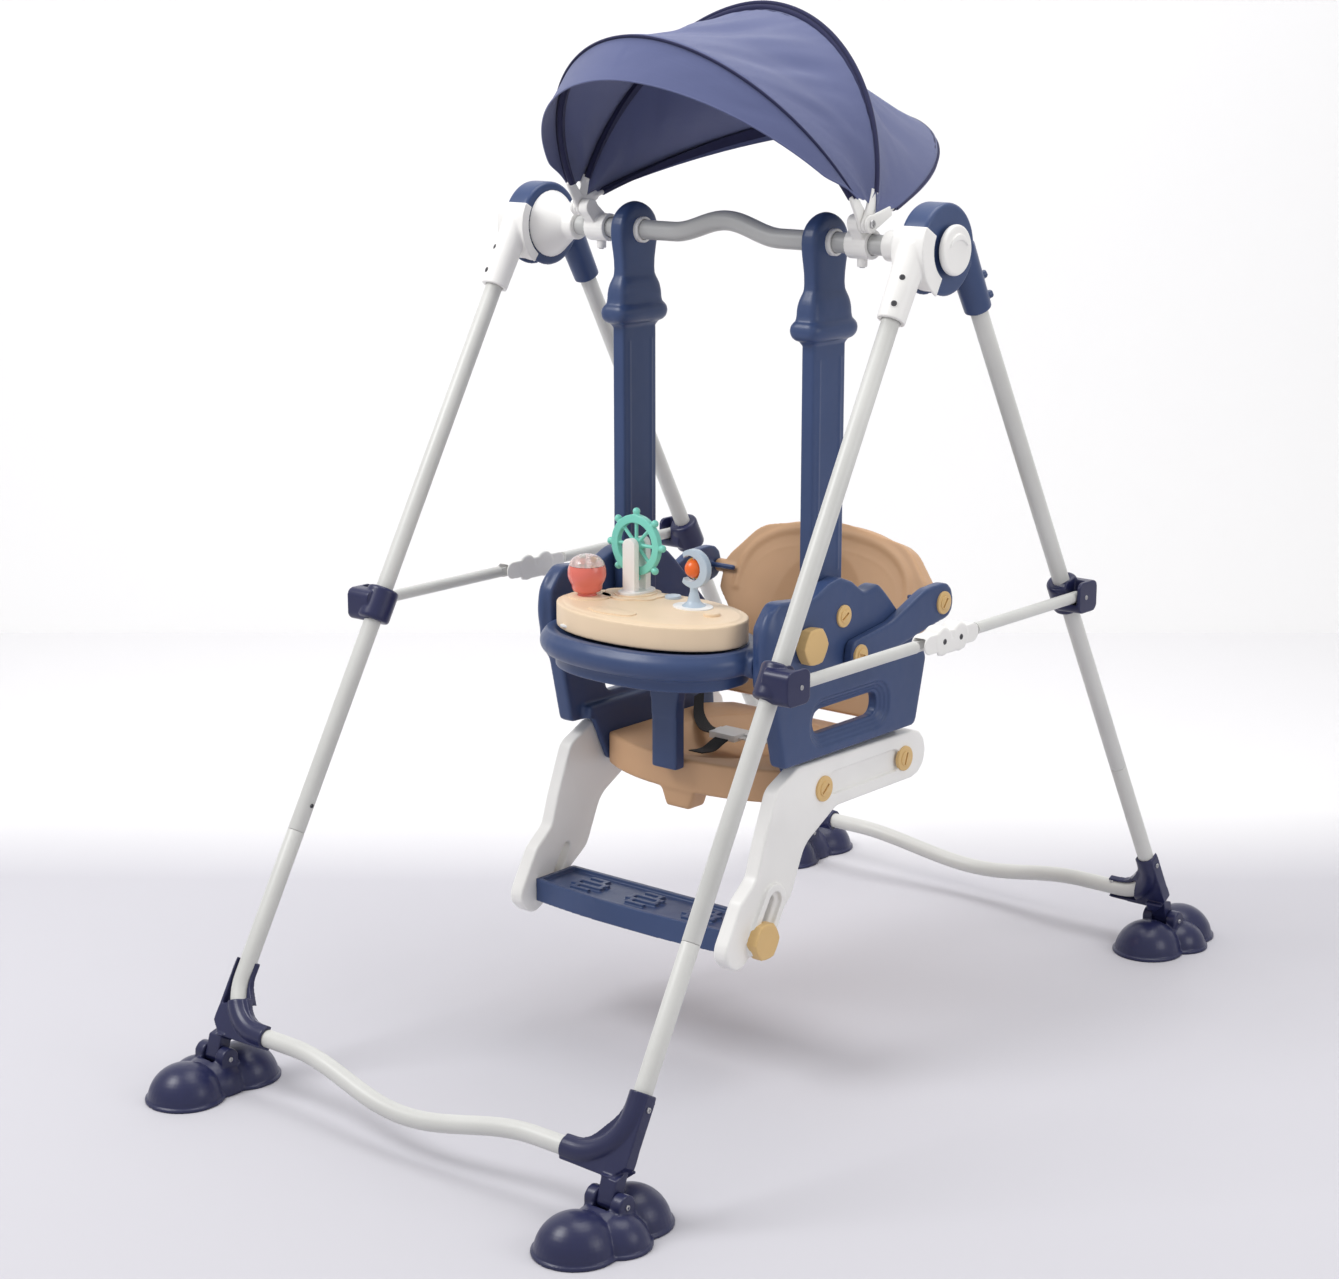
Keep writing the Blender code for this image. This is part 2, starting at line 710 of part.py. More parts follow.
def brace_clamp(side, end):
    """Barrel clamp round the leg, with a pocket outboard in which the brace's end swings."""
    middle = clamp_point(end)
    along = leg_direction(1, end)
    outer = BRACE_X + BRACE_R + GAP + CLAMP_CHEEK
    barrel = rod(middle - along * CLAMP_H, middle + along * CLAMP_H, CLAMP_R)
    pivot = (end * BRACE_PIVOT_Y, middle.z)
    reach = end * (BRACE_PIVOT_Y - CLAMP_REACH)
    back = end * (BRACE_PIVOT_Y + 0.022)
    corners = [(reach, pivot[1] - 0.021, 0.008), (reach, pivot[1] + 0.021, 0.008),
               (back, pivot[1] + 0.024, 0.012), (back, pivot[1] - 0.024, 0.012)]
    knuckle = plate(rounded(corners, 2), middle.x - 0.004, outer)
    join(barrel, knuckle)
    pocket_r = BRACE_R + 0.0008
    pocket_low = BRACE_X - BRACE_R - GAP
    far = end * (BRACE_PIVOT_Y - 0.2)
    near = end * BRACE_PIVOT_Y + end * pocket_r
    low_y, high_y = sorted((far, near))
    pocket = box((pocket_low, low_y, pivot[1] - pocket_r),
                 (BRACE_X + BRACE_R + GAP, high_y, pivot[1] + 0.2))
    cut(barrel, pocket, rod(middle - along * 0.2, middle + along * 0.2, LEG_R + GAP))
    pin = rod((pocket_low - 0.001, pivot[0], pivot[1]), (outer - 0.001, pivot[0], pivot[1]), RIVET_R, 12)
    join(barrel, pin)
    return mirrored(barrel, side)


def brace_tube(side, end):
    """Half of a side brace: a tube pinned in its clamp, with a flat tongue that runs into the coupler."""
    height = clamp_point(end).z
    start = end * BRACE_PIVOT_Y
    made = rod((BRACE_X, start, height), (BRACE_X, end * TUBE_END_Y, height), BRACE_R, 12)
    join(made, ball((BRACE_X, start, height), (BRACE_R,) * 3, 6, 12))
    middle = BRACE_X + end * TONGUE_OFFSET
    low_y, high_y = sorted((end * RIVET_Y, end * (TUBE_END_Y + 0.01)))
    tongue = box((middle - TONGUE_T / 2, low_y, height - TONGUE_H / 2),
                 (middle + TONGUE_T / 2, high_y, height + TONGUE_H / 2))
    tip = rod((middle - TONGUE_T / 2, end * RIVET_Y, height), (middle + TONGUE_T / 2, end * RIVET_Y, height),
              TONGUE_H / 2, 12)
    join(made, tongue, tip)
    if end < 0:
        cut(made, rod((0.3, end * RIVET_Y, height), (0.4, end * RIVET_Y, height), RIVET_R + GAP, 12))
    cut(made, rod((0.3, end * BRACE_PIVOT_Y, height), (0.4, end * BRACE_PIVOT_Y, height), RIVET_R + GAP, 12))
    return mirrored(made, side)


def brace_coupler(side):
    """White channel over the two tongues, closed on top, so that both halves can fold down from it."""
    height = clamp_point(-1).z
    inner = BRACE_R + GAP
    outer = inner + COUPLER_WALL
    corners = [(-COUPLER_HALF, height - COUPLER_H, 0.007), (COUPLER_HALF, height - COUPLER_H, 0.007),
               (COUPLER_HALF, height + COUPLER_H, 0.007), (-COUPLER_HALF, height + COUPLER_H, 0.007)]
    made = plate(rounded(corners, 3), BRACE_X - outer, BRACE_X + outer)
    cut(made, box((BRACE_X - inner, -0.1, height - 0.1), (BRACE_X + inner, 0.1, height + BRACE_R + 0.001)))
    rivet_end = BRACE_X - TONGUE_OFFSET + TONGUE_T / 2 + 0.0004
    join(made, rod((BRACE_X - inner - 0.001, -RIVET_Y, height), (rivet_end, -RIVET_Y, height), RIVET_R, 12))
    return mirrored(made, side)


# Canopy

def arch_point(reach, degrees, share, out=0.0, up=0.0):
    """A point of an arch that stands on the canopy's axis, leant back by an angle."""
    angle = math.pi * share
    power = 2 / CANOPY_POWER
    x = (CANOPY_HALF + out) * math.copysign(abs(math.cos(angle)) ** power, math.cos(angle))
    rise = (reach + up) * abs(math.sin(angle)) ** power
    lean = math.radians(degrees)
    return Vector((-x, CANOPY_Y + rise * math.sin(lean), CANOPY_Z + rise * math.cos(lean)))


def pivot_rod(low, high, radius, sides=20):
    """A rod along the canopy's axis, on the right side."""
    return rod((low, CANOPY_Y, CANOPY_Z), (high, CANOPY_Y, CANOPY_Z), radius, sides)


def prong(degrees, low, high):
    """Flat end of a bow: a disc on the canopy's pin that narrows to a straight tongue."""
    turn = math.acos(PRONG_HALF / PLATE_R)
    sweep = 2 * (math.pi - turn)
    lean = math.radians(degrees)
    outline = []
    for step in range(13):
        angle = math.pi / 2 + turn + sweep * step / 12 - math.pi / 2
        outline.append((PLATE_R * math.cos(angle), PLATE_R * math.sin(angle)))
    outline += [(PRONG_LENGTH, -PRONG_HALF), (PRONG_LENGTH, PRONG_HALF)]
    placed = []
    for along, across in outline:
        placed.append((CANOPY_Y + along * math.sin(lean) - across * math.cos(lean),
                       CANOPY_Z + along * math.cos(lean) + across * math.sin(lean)))
    hole = [(CANOPY_Y + (CANOPY_PIN_R + GAP) * math.cos(math.pi * step / 6),
             CANOPY_Z + (CANOPY_PIN_R + GAP) * math.sin(math.pi * step / 6)) for step in range(12)]
    return plate(placed, low, high, holes=(hole,))


def bow(index):
    """A wire arch whose two ends are flat prongs that turn side by side on the canopy's pins."""
    name, degrees, reach = BOWS[index]
    shift = (index - 1) * (PLATE_T + GAP)
    line = [arch_point(reach, degrees, step / ARCH_STEPS, shift) for step in range(ARCH_STEPS + 1)]
    root = Vector((0, CANOPY_Y, CANOPY_Z))
    lean = math.radians(degrees)
    seat = root + 0.85 * PRONG_LENGTH * Vector((0, math.sin(lean), math.cos(lean)))
    ends = [Vector((side * (CANOPY_HALF + shift - 0.0008), seat.y, seat.z)) for side in (-1, 1)]
    wire = [point for point in line if (point.yz - root.yz).length > PRONG_LENGTH]
    made = tube([ends[0], *wire, ends[1]], BOW_R, 1)
    low = CANOPY_HALF + shift - PLATE_T / 2
    for side in (-1, 1):
        join(made, mirrored(prong(degrees, low, low + PLATE_T), side))
    return made


def canopy_bracket(side):
    """Clip round the top bar, with a cheek that carries the pin on which the bows turn."""
    clip = rod((CLIP_X - CLIP_HALF, 0, HUB_Z), (CLIP_X + CLIP_HALF, 0, HUB_Z), CLIP_R, 24)
    pin_start = CANOPY_HALF - 1.5 * PLATE_T - 2 * GAP
    cheek = rod((CLIP_X - 0.002, CANOPY_Y, CANOPY_Z), (pin_start, CANOPY_Y, CANOPY_Z), PLATE_R, 20)
    web = plate([(-0.014, HUB_Z + 0.002), (0.012, HUB_Z + 0.012), (CANOPY_Y + 0.010, CANOPY_Z + 0.004),
                 (CANOPY_Y - 0.010, CANOPY_Z - 0.004)], CLIP_X - 0.002, pin_start)
    pin_end = CANOPY_HALF + 1.5 * PLATE_T + 3 * GAP
    made = join(clip, cheek, web, pivot_rod(pin_start - 0.002, pin_end, CANOPY_PIN_R, 12))
    cut(made, rod((0.15, 0, HUB_Z), (0.3, 0, HUB_Z), BAR_R + GAP, 24))
    return mirrored(made, side)


def fabric(stations):
    """A closed sheet lofted over arches given as (degrees, reach), with straight cloth between them."""
    low, high = 1, ARCH_STEPS - 1
    work = bmesh.new()
    layers = []
    for half in (-0.5, 0.5):
        rows = []
        for degrees, reach in stations:
            rows.append([work.verts.new(arch_point(reach, degrees, step / ARCH_STEPS,
                                                   FABRIC_OUT + half * FABRIC_T, FABRIC_UP + half * FABRIC_T))
                         for step in range(low, high + 1)])
        layers.append(rows)
    count = high - low
    for rows, flip in zip(layers, (True, False)):
        for first, second in zip(rows, rows[1:]):
            for step in range(count):
                face = [first[step], first[step + 1], second[step + 1], second[step]]
                work.faces.new(list(reversed(face)) if flip else face)
    inner, outer = layers
    for edge in (0, -1):
        for step in range(count):
            work.faces.new([inner[edge][step], inner[edge][step + 1],
                            outer[edge][step + 1], outer[edge][step]])
    for step in (0, count):
        for row in range(len(stations) - 1):
            work.faces.new([inner[row][step], inner[row + 1][step], outer[row + 1][step], outer[row][step]])
    bmesh.ops.recalc_face_normals(work, faces=work.faces)
    mesh = bpy.data.meshes.new("fabric")
    work.to_mesh(mesh)
    work.free()
    return solid(mesh)


def canopy_panel(which):
    """The cloth before or behind the middle bow; the front one runs on past its bow as a visor."""
    (front, front_deg, front_reach), (middle, middle_deg, middle_reach), (rear, rear_deg, rear_reach) = BOWS
    if which == "front":
        return fabric([(VISOR_DEG, VISOR_REACH), (front_deg, front_reach),
                       (middle_deg - SEAM_DEG, middle_reach)])
    return fabric([(middle_deg + SEAM_DEG, middle_reach), (rear_deg, rear_reach), (HEM_DEG, rear_reach)])


# Hanging seat

def hanger(side):
    """Blade that hangs on the top bar: eye, shoulders, a roll, and the arm down to the side panel."""
    low, high = HANGER_X - HANGER_T / 2, HANGER_X + HANGER_T / 2
    half = HANGER_W / 2
    outline = [(-half, HANGER_END_Z), (half, HANGER_END_Z)]
    start = -math.acos(half / EYE_R)
    for step in range(17):
        angle = start + (math.pi - 2 * start) * step / 16
        outline.append((EYE_R * math.cos(angle), HUB_Z + EYE_R * math.sin(angle)))
    blade = plate(outline, low, high)
    shoulder = rounded([(-half - 0.008, ROLL_Z, 0.002), (half + 0.008, ROLL_Z, 0.002),
                        (half + 0.003, COLLAR_TOP_Z, 0.010), (-half - 0.003, COLLAR_TOP_Z, 0.010)], 2)
    collar = plate(shoulder, HANGER_X - 0.017, HANGER_X + 0.017, bevel=0.004, segments=1)
    roll = round_edges(box((HANGER_X - 0.022, -0.0415, ROLL_Z - 0.012),
                           (HANGER_X + 0.022, 0.0415, ROLL_Z + 0.011)), 0.010, 2)
    made = join(blade, collar, roll)
    cut(made, rod((0.1, 0, HUB_Z), (0.2, 0, HUB_Z), BAR_R + GAP, 24))
    return mirrored(made, side)


PANEL_OUTLINE = (
    (-0.115, 0.392, 0.006), (-0.135, 0.480, 0.015), (-0.152, 0.500, 0.012), (-0.153, 0.575, 0.014),
    (-0.128, 0.604, 0.018), (-0.060, 0.597, 0.015), (0.000, 0.622, 0.050), (0.050, 0.588, 0.014),
    (0.078, 0.596, 0.014), (0.102, 0.574, 0.020), (0.190, 0.483, 0.014), (0.167, 0.392, 0.008),
)


def side_panel(side):
    """Side of the seat with its armrest block, a hand slot, and the lug that holds the leg part."""
    slot = rounded([(-0.047, 0.421, 0.012), (0.090, 0.421, 0.012), (0.090, 0.452, 0.012),
                    (-0.047, 0.452, 0.012)], 2)
    made = plate(rounded(PANEL_OUTLINE, 2), PANEL_IN_X, PANEL_OUT_X, holes=(slot,))
    lug_out = LUG_IN_X + LUG_T
    lug = plate([(-0.058, 0.334), (-0.020, 0.322), (0.150, 0.326), (0.168, 0.345), (0.160, 0.412),
                 (-0.095, 0.412)],
                LUG_IN_X, lug_out)
    block = box((LUG_IN_X, -0.095, PANEL_BOTTOM_Z + 0.002), (PANEL_IN_X + 0.006, 0.150, 0.412))
    join(made, lug, block)
    hole = rod((0.1, TRAY_PIVOT_Y, TRAY_PIVOT_Z), (0.3, TRAY_PIVOT_Y, TRAY_PIVOT_Z), SHAFT_R + GAP, 16)
    cut(made, hole)
    for place in (LINK_FRONT,):
        cut(made, rod((0.175, *place), (0.3, *place), SHAFT_R + GAP, 16))
    return mirrored(made, side)


LEG_OUTLINE = (
    (-0.076, 0.387, 0.006), (-0.122, 0.365, 0.022), (-0.148, 0.300, 0.040), (-0.160, 0.262, 0.020),
    (-0.190, 0.238, 0.020), (-0.226, 0.176, 0.020), (-0.196, 0.148, 0.020), (-0.090, 0.220, 0.030),
    (-0.062, 0.282, 0.040), (0.004, 0.318, 0.022), (0.200, 0.318, 0.030), (0.200, 0.382, 0.030),
)


def slot_ends():
    """The two ends of the footrest's slot, along which its screws slide."""
    low = Vector((FOOTREST_Y, FOOTREST_Z))
    rise = Vector(SLOT_DIRECTION).normalized()
    return low - rise * 0.001, low + rise * (FOOTREST_TRAVEL + 0.001)


def capsule(first, second, radius, steps=5):
    along = (second - first).normalized()
    base = math.atan2(along.y, along.x)
    points = []
    for centre, start in ((second, base - math.pi / 2), (first, base + math.pi / 2)):
        for step in range(steps + 1):
            angle = start + math.pi * step / steps
            points.append((centre.x + radius * math.cos(angle), centre.y + radius * math.sin(angle)))
    return points


def leg_extension(side):
    """White cranked part under the side panel, with the slot for the footrest's screw."""
    low = LUG_IN_X + LUG_T + GAP
    slot = capsule(*slot_ends(), SCREW_R + GAP)
    made = plate(rounded(LEG_OUTLINE, 3), low, low + LEG_EXT_T, holes=(slot,))
    return mirrored(made, side)


def footrest():
    half = LUG_IN_X + LUG_T
    back = FOOTREST_Y + FOOTREST_DEPTH / 2
    front = FOOTREST_Y - FOOTREST_DEPTH / 2
    plan = [(-half, back), (half, back), (half, front + 0.004)]
    steps = 8
    for step in range(1, steps):
        x = half * (1 - 2 * step / steps)
        plan.append((x, front - 0.004 * (1 - (x / half) ** 2) + 0.004))
    plan.append((-half, front + 0.004))
    made = plate(list(reversed(plan)), FOOTREST_Z - FOOTREST_T / 2, FOOTREST_Z + FOOTREST_T / 2, axis="z",
                 bevel=0.004, segments=1)
    for side in (-1, 1):
        hole = rod((side * (half - 0.022), FOOTREST_Y, FOOTREST_Z),
                   (side * (half + 0.01), FOOTREST_Y, FOOTREST_Z),
                   SHAFT_R + GAP, 16)
        cut(made, hole)
    return made


def hex_knob(side, start, y, z, reach):
    """Six-lobed knob on a shaft that reaches inward through what it clamps."""
    lobes = []
    for step in range(18):
        angle = 2 * math.pi * step / 18
        radius = KNOB_R - 0.0022 * (1 - math.cos(6 * angle)) / 2
        lobes.append((y + radius * math.cos(angle), z + radius * math.sin(angle)))
    made = plate(lobes, start, start + KNOB_T)
    join(made, rod((start - reach, y, z), (start + 0.002, y, z), SHAFT_R, 16))
    return mirrored(made, side)


def seat_pan():
    """Beige pan with a rounded front lip, side bolsters and a shallow hollow."""
    half = LUG_IN_X - GAP
    plan = []
    steps = 10
    for step in range(steps + 1):
        x = half * (1 - 2 * step / steps)
        plan.append((x, PAN_FRONT_Y + 0.040 * (abs(x) / half) ** 2.4))
    plan += [(-half, PAN_REAR_Y - 0.03), (-half + 0.03, PAN_REAR_Y), (half - 0.03, PAN_REAR_Y),
             (half, PAN_REAR_Y - 0.03)]
    made = plate(plan, PAN_BOTTOM_Z, PAN_TOP_Z, axis="z", bevel=0.010, segments=1)
    cut(made, ball((0, 0.035, PAN_TOP_Z + 0.040), (0.128, 0.150, 0.062), 8, 18))
    join(made, box((-0.020, -0.094, PAN_BOTTOM_Z - 0.022), (0.020, -0.062, PAN_BOTTOM_Z + 0.006)))
    return made


def lean_back(obj):
    """Stands a solid made upright at y 0 on the seat's rear edge and leans it back."""
    turn = Matrix.Rotation(-math.radians(BACK_LEAN_DEG), 4, "X")
    obj.data.transform(Matrix.Translation((0, BACK_FOOT_Y, BACK_FOOT_Z)) @ turn)
    return obj


def seat_back():
    """Curved beige backrest with an arched top, side wings, and bosses for the links' screws."""
    narrow = LUG_IN_X - GAP - 0.002
    wide = BACK_WIDE
    outline = rounded([
        (-narrow, 0.0, 0.010), (narrow, 0.0, 0.010), (narrow, 0.108, 0.010), (wide, 0.125, 0.012),
        (wide, 0.180, 0.030), (0.120, 0.230, 0.060), (0.0, 0.253, 0.200), (-0.120, 0.230, 0.060),
        (-wide, 0.180, 0.030), (-wide, 0.125, 0.012), (-narrow, 0.108, 0.010),
    ], 3)
    made = plate(outline, 0.0, BACK_T, axis="y", bevel=0.006, segments=1)
    cut(made, ball((0, -0.055, 0.11), (0.130, 0.068, 0.170), 8, 14))
    lean_back(made)
    for side in (-1, 1):
        boss_end = PANEL_OUT_X - 0.0002
        boss = rod((side * (wide - 0.025), *LINK_REAR), (side * boss_end, *LINK_REAR), 0.013, 20)
        join(made, boss)
        cut(made, rod((side * (wide - 0.020), *LINK_REAR), (side * 0.3, *LINK_REAR), SHAFT_R + GAP, 16))
    return made


def back_link(side):
    """Blue link outside the side panel that holds the backrest, with its two screw pins."""
    low = PANEL_OUT_X + GAP
    first, second = Vector(LINK_FRONT), Vector(LINK_REAR)
    outline = rounded([
        (first.x - 0.018, first.y - 0.012, 0.008), (first.x + 0.016, first.y - 0.018, 0.010),
        (second.x - 0.010, second.y - 0.025, 0.020), (second.x + 0.025, second.y - 0.020, 0.022),
        (second.x + 0.022, second.y + 0.027, 0.024), (second.x - 0.040, second.y + 0.024, 0.050),
        (first.x + 0.070, first.y + 0.030, 0.060), (first.x - 0.014, first.y + 0.018, 0.012),
    ], 3)
    made = plate(outline, low, low + LINK_T)
    join(made, rod((0.178, *LINK_FRONT), (low + 0.002, *LINK_FRONT), SHAFT_R, 16))
    join(made, rod((BACK_WIDE - 0.018, *LINK_REAR), (low + 0.002, *LINK_REAR), SHAFT_R, 16))
    return mirrored(made, side)


def superellipse(a, b, centre_y, power=2.1, steps=32):
    points = []
    for step in range(steps):
        angle = 2 * math.pi * step / steps
        cosine, sine = math.cos(angle), math.sin(angle)
        points.append((a * math.copysign(abs(cosine) ** (2 / power), cosine),
                       centre_y + b * math.copysign(abs(sine) ** (2 / power), sine)))
    return points


def tray_guard():
    """Blue carrier under the play tray, with side lugs on the tray's pivot and the crotch post."""
    made = plate(superellipse(RIM_A, RIM_B, RIM_Y, 2.3, 28), RIM_LOW_Z, RIM_TOP_Z, axis="z",
                 bevel=0.008, segments=1)
    cut(made, ball((0, RIM_Y, RIM_LOW_Z - 0.010), (RIM_A - 0.018, RIM_B - 0.018, 0.046), 6, 20))
    for side in (-1, 1):
        low, high = sorted((side * (PANEL_IN_X - GAP), side * (PANEL_IN_X - GAP - TRAY_LUG_T)))
        rim_end = Vector((TRAY_PIVOT_Y - 0.062, RIM_TOP_Z - 0.020))
        lug = plate(capsule(rim_end, Vector((TRAY_PIVOT_Y, TRAY_PIVOT_Z)), 0.0175), low, high)
        join(made, lug)
        cut(made, rod((side * 0.13, TRAY_PIVOT_Y, TRAY_PIVOT_Z), (side * 0.18, TRAY_PIVOT_Y, TRAY_PIVOT_Z),
                      SHAFT_R + GAP, 16))
    post = round_edges(box((-POST_W / 2, POST_Y - POST_D / 2, POST_END_Z),
                           (POST_W / 2, POST_Y + POST_D / 2, 0.535)),
                       0.004, 1)
    return join(made, post)


def play_tray():
    """Beige tray with a raised rim and plugs under the toys."""
    made = plate(superellipse(TRAY_A, TRAY_B, TRAY_Y), TRAY_BASE_Z, TRAY_TOP_Z, axis="z",
                 bevel=0.007, segments=1)
    return made


# Toys

def wheel_stand():
    """White fork with the axle on which the play wheel turns between its two posts."""
    base_top = TRAY_TOP_Z + STAND_BASE_H
    reach = WHEEL_HUB_HALF + GAP + POST_THICK / 2
    ends = [Vector((WHEEL_X, WHEEL_Y + way * reach)) for way in (-1, 1)]
    made = plate(capsule(*ends, STAND_BASE_R), TRAY_TOP_Z + GAP, base_top, axis="z")
    post = capsule(Vector((WHEEL_X, TRAY_TOP_Z + POST_R + 2 * GAP)), Vector((WHEEL_X, WHEEL_Z)), POST_R)
    for middle in ends:
        join(made, plate(post, middle.y - POST_THICK / 2, middle.y + POST_THICK / 2, axis="y"))
    span = WHEEL_HUB_HALF + GAP + 0.001
    axle = rod((WHEEL_X, WHEEL_Y - span, WHEEL_Z), (WHEEL_X, WHEEL_Y + span, WHEEL_Z), AXLE_R, 12)
    return join(made, axle)


def toy_wheel():
    """Mint ring with spokes, a hub and eight small balls round its rim."""
    made = rod((WHEEL_X, WHEEL_Y - 0.004, WHEEL_Z), (WHEEL_X, WHEEL_Y + 0.004, WHEEL_Z), WHEEL_R, 20)
    cut(made, rod((WHEEL_X, WHEEL_Y - 0.02, WHEEL_Z), (WHEEL_X, WHEEL_Y + 0.02, WHEEL_Z),
                  WHEEL_R - WHEEL_RING, 20))
    for step in range(4):
        angle = math.pi * step / 4
        way = Vector((math.cos(angle), 0, math.sin(angle))) * (WHEEL_R - 0.004)
        middle = Vector((WHEEL_X, WHEEL_Y, WHEEL_Z))
        join(made, rod(middle - way, middle + way, 0.0022, 6))
    for step in range(8):
        angle = 2 * math.pi * step / 8
        middle = Vector((WHEEL_X, WHEEL_Y, WHEEL_Z))
        centre = middle + Vector((math.cos(angle), 0, math.sin(angle))) * (WHEEL_R + 0.003)
        join(made, ball(centre, (0.0052,) * 3, 4, 7))
    hub_half = WHEEL_HUB_HALF
    hub = rod((WHEEL_X, WHEEL_Y - hub_half, WHEEL_Z), (WHEEL_X, WHEEL_Y + hub_half, WHEEL_Z), 0.009, 16)
    join(made, hub)
    bore = rod((WHEEL_X, WHEEL_Y - 0.02, WHEEL_Z), (WHEEL_X, WHEEL_Y + 0.02, WHEEL_Z), AXLE_R + GAP, 12)
    return cut(made, bore)


def crescent_stand():
    """Pale crescent on a post, open to one side, with the short axle of the ball between its horns."""
    y = BALL_Y
    points = []
    for step in range(17):
        angle = math.radians(50 + 260 * step / 16)
        points.append((BALL_X + 0.024 * math.cos(angle), BALL_Z + 0.024 * math.sin(angle)))
    for step in range(17):
        angle = math.radians(310 - 260 * step / 16)
        points.append((BALL_X + 0.0035 + 0.0165 * math.cos(angle), BALL_Z + 0.0165 * math.sin(angle)))
    made = plate(list(reversed(points)), y - 0.004, y + 0.004, axis="y")
    foot_z = TRAY_TOP_Z + GAP
    base = rod((BALL_X - 0.002, y, foot_z), (BALL_X - 0.002, y, foot_z + 0.006), 0.014, 20, 0.011)
    post = rod((BALL_X - 0.002, y, foot_z + 0.004), (BALL_X - 0.002, y, BALL_Z - 0.020), 0.0050, 12)
    axle = rod((BALL_X, y, BALL_Z - 0.020), (BALL_X, y, BALL_Z + 0.020), 0.0015, 10)
    return join(made, base, post, axle)


def toy_ball():
    made = ball((BALL_X, BALL_Y, BALL_Z), (BALL_R,) * 3, 8, 14)
    return cut(made, rod((BALL_X, BALL_Y, BALL_Z - 0.03), (BALL_X, BALL_Y, BALL_Z + 0.03), 0.0015 + GAP, 10))


def toy_dome():
    """Rattle: a cup with a round ball that sits in it."""
    low = TRAY_TOP_Z + GAP
    cup_top = low + DOME_CUP_H
    cup = rod((DOME_X, DOME_Y, low), (DOME_X, DOME_Y, cup_top), DOME_CUP_R * 0.72, 24, DOME_CUP_R)
    top = ball((DOME_X, DOME_Y, cup_top + DOME_R * 0.6), (DOME_R, DOME_R, DOME_R), 10, 24)
    return join(cup, top)


# The frame, front and rear

for end_name, end in ENDS:
    frame_root = hub_axis if end > 0 else None
    for side_name, side in SIDES:
        finish(upper_leg(side, end), "upper_leg_" + end_name + "_" + side_name, "leg_grey", parent=frame_root)
        finish(corner_bracket(side, end), "corner_bracket_" + end_name + "_" + side_name, "frame_navy",
               parent=frame_root)
        finish(brace_clamp(side, end), "brace_clamp_" + end_name + "_" + side_name, "frame_navy",
               parent=frame_root)
        finish(foot(side, end), "foot_" + end_name + "_" + side_name, "frame_navy",
               (side * LEG_FOOT_X, end * FOOT_PIN_Y, FOOT_PIN_Z))
        finish(brace_tube(side, end), "brace_tube_" + end_name + "_" + side_name, "leg_grey",
               (side * BRACE_X, end * BRACE_PIVOT_Y, clamp_point(end).z))
    finish(base_tube(end), "base_rail_" + end_name, "leg_grey", parent=frame_root)

for side_name, side in SIDES:
    finish(front_hub(side), "front_hub_" + side_name, "white", (side * CORE_OUT_X, 0, HUB_Z))
    finish(rear_hub(side), "rear_hub_" + side_name, "seat_blue", (side * CORE_OUT_X, 0, HUB_Z), hub_axis)
    finish(hub_button(side), "hub_button_" + side_name, "white", (side * (CORE_OUT_X + RIM_T), 0, HUB_Z))
    finish(brace_coupler(side), "brace_coupler_" + side_name, "white",
           (side * BRACE_X, -RIVET_Y, clamp_point(-1).z))
finish(top_bar(), "top_bar", "bar_grey", (0, 0, HUB_Z))

# The canopy

for side_name, side in SIDES:
    finish(canopy_bracket(side), "canopy_bracket_" + side_name, "white", (side * CLIP_X, 0, HUB_Z))
for index, (bow_name, degrees, reach) in enumerate(BOWS):
    finish(bow(index), "bow_" + bow_name, "white", (0, CANOPY_Y, CANOPY_Z))
for which in ("front", "rear"):
    finish(canopy_panel(which), "canopy_" + which, "canopy_fabric", (0, CANOPY_Y, CANOPY_Z))

# The seat

swing = empty("swing", (0, 0, HUB_Z))
for side_name, side in SIDES:
    finish(hanger(side), "hanger_" + side_name, "seat_blue", parent=swing)
    finish(side_panel(side), "side_panel_" + side_name, "seat_blue", parent=swing)
    finish(back_link(side), "back_link_" + side_name, "seat_blue", parent=swing)
    finish(leg_extension(side), "leg_extension_" + side_name, "white", parent=swing)
    through = PANEL_OUT_X - PANEL_IN_X + TRAY_LUG_T
    tray_knob = hex_knob(side, PANEL_OUT_X + GAP, TRAY_PIVOT_Y, TRAY_PIVOT_Z, through)
    finish(tray_knob, "tray_knob_" + side_name, "knob_yellow",
           (side * PANEL_OUT_X, TRAY_PIVOT_Y, TRAY_PIVOT_Z), swing)
    knob_start = LUG_IN_X + LUG_T + GAP + LEG_EXT_T + GAP
    foot_knob = hex_knob(side, knob_start, FOOTREST_Y, FOOTREST_Z, LEG_EXT_T + 0.020)
    finish(foot_knob, "footrest_knob_" + side_name, "knob_yellow",
           (side * knob_start, FOOTREST_Y, FOOTREST_Z), swing)
finish(seat_pan(), "seat_pan", "beige", parent=swing)
finish(seat_back(), "seat_back", "beige", parent=swing)
finish(footrest(), "footrest", "seat_blue", parent=swing)

# The tray and its toys

tray_axis = empty("tray_axis", (0, TRAY_PIVOT_Y, TRAY_PIVOT_Z))
finish(tray_guard(), "tray_guard", "seat_blue", parent=tray_axis)
finish(play_tray(), "play_tray", "tray_beige", parent=tray_axis)
finish(wheel_stand(), "wheel_stand", "white", parent=tray_axis)
finish(toy_wheel(), "toy_wheel", "mint", (WHEEL_X, WHEEL_Y, WHEEL_Z), tray_axis)
finish(crescent_stand(), "crescent_stand", "pale_blue", parent=tray_axis)
finish(toy_ball(), "toy_ball", "orange", (BALL_X, BALL_Y, BALL_Z), tray_axis)
finish(toy_dome(), "toy_dome", "coral", (DOME_X, DOME_Y, TRAY_TOP_Z), tray_axis)
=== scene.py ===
"""Looks of a folding baby swing chair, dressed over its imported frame.

Metres, +Z up. The chair's front is towards -Y, and its right side, as pictured, is at +X.
"""
import math

import bmesh
import bpy
from mathutils import Matrix, Vector, noise


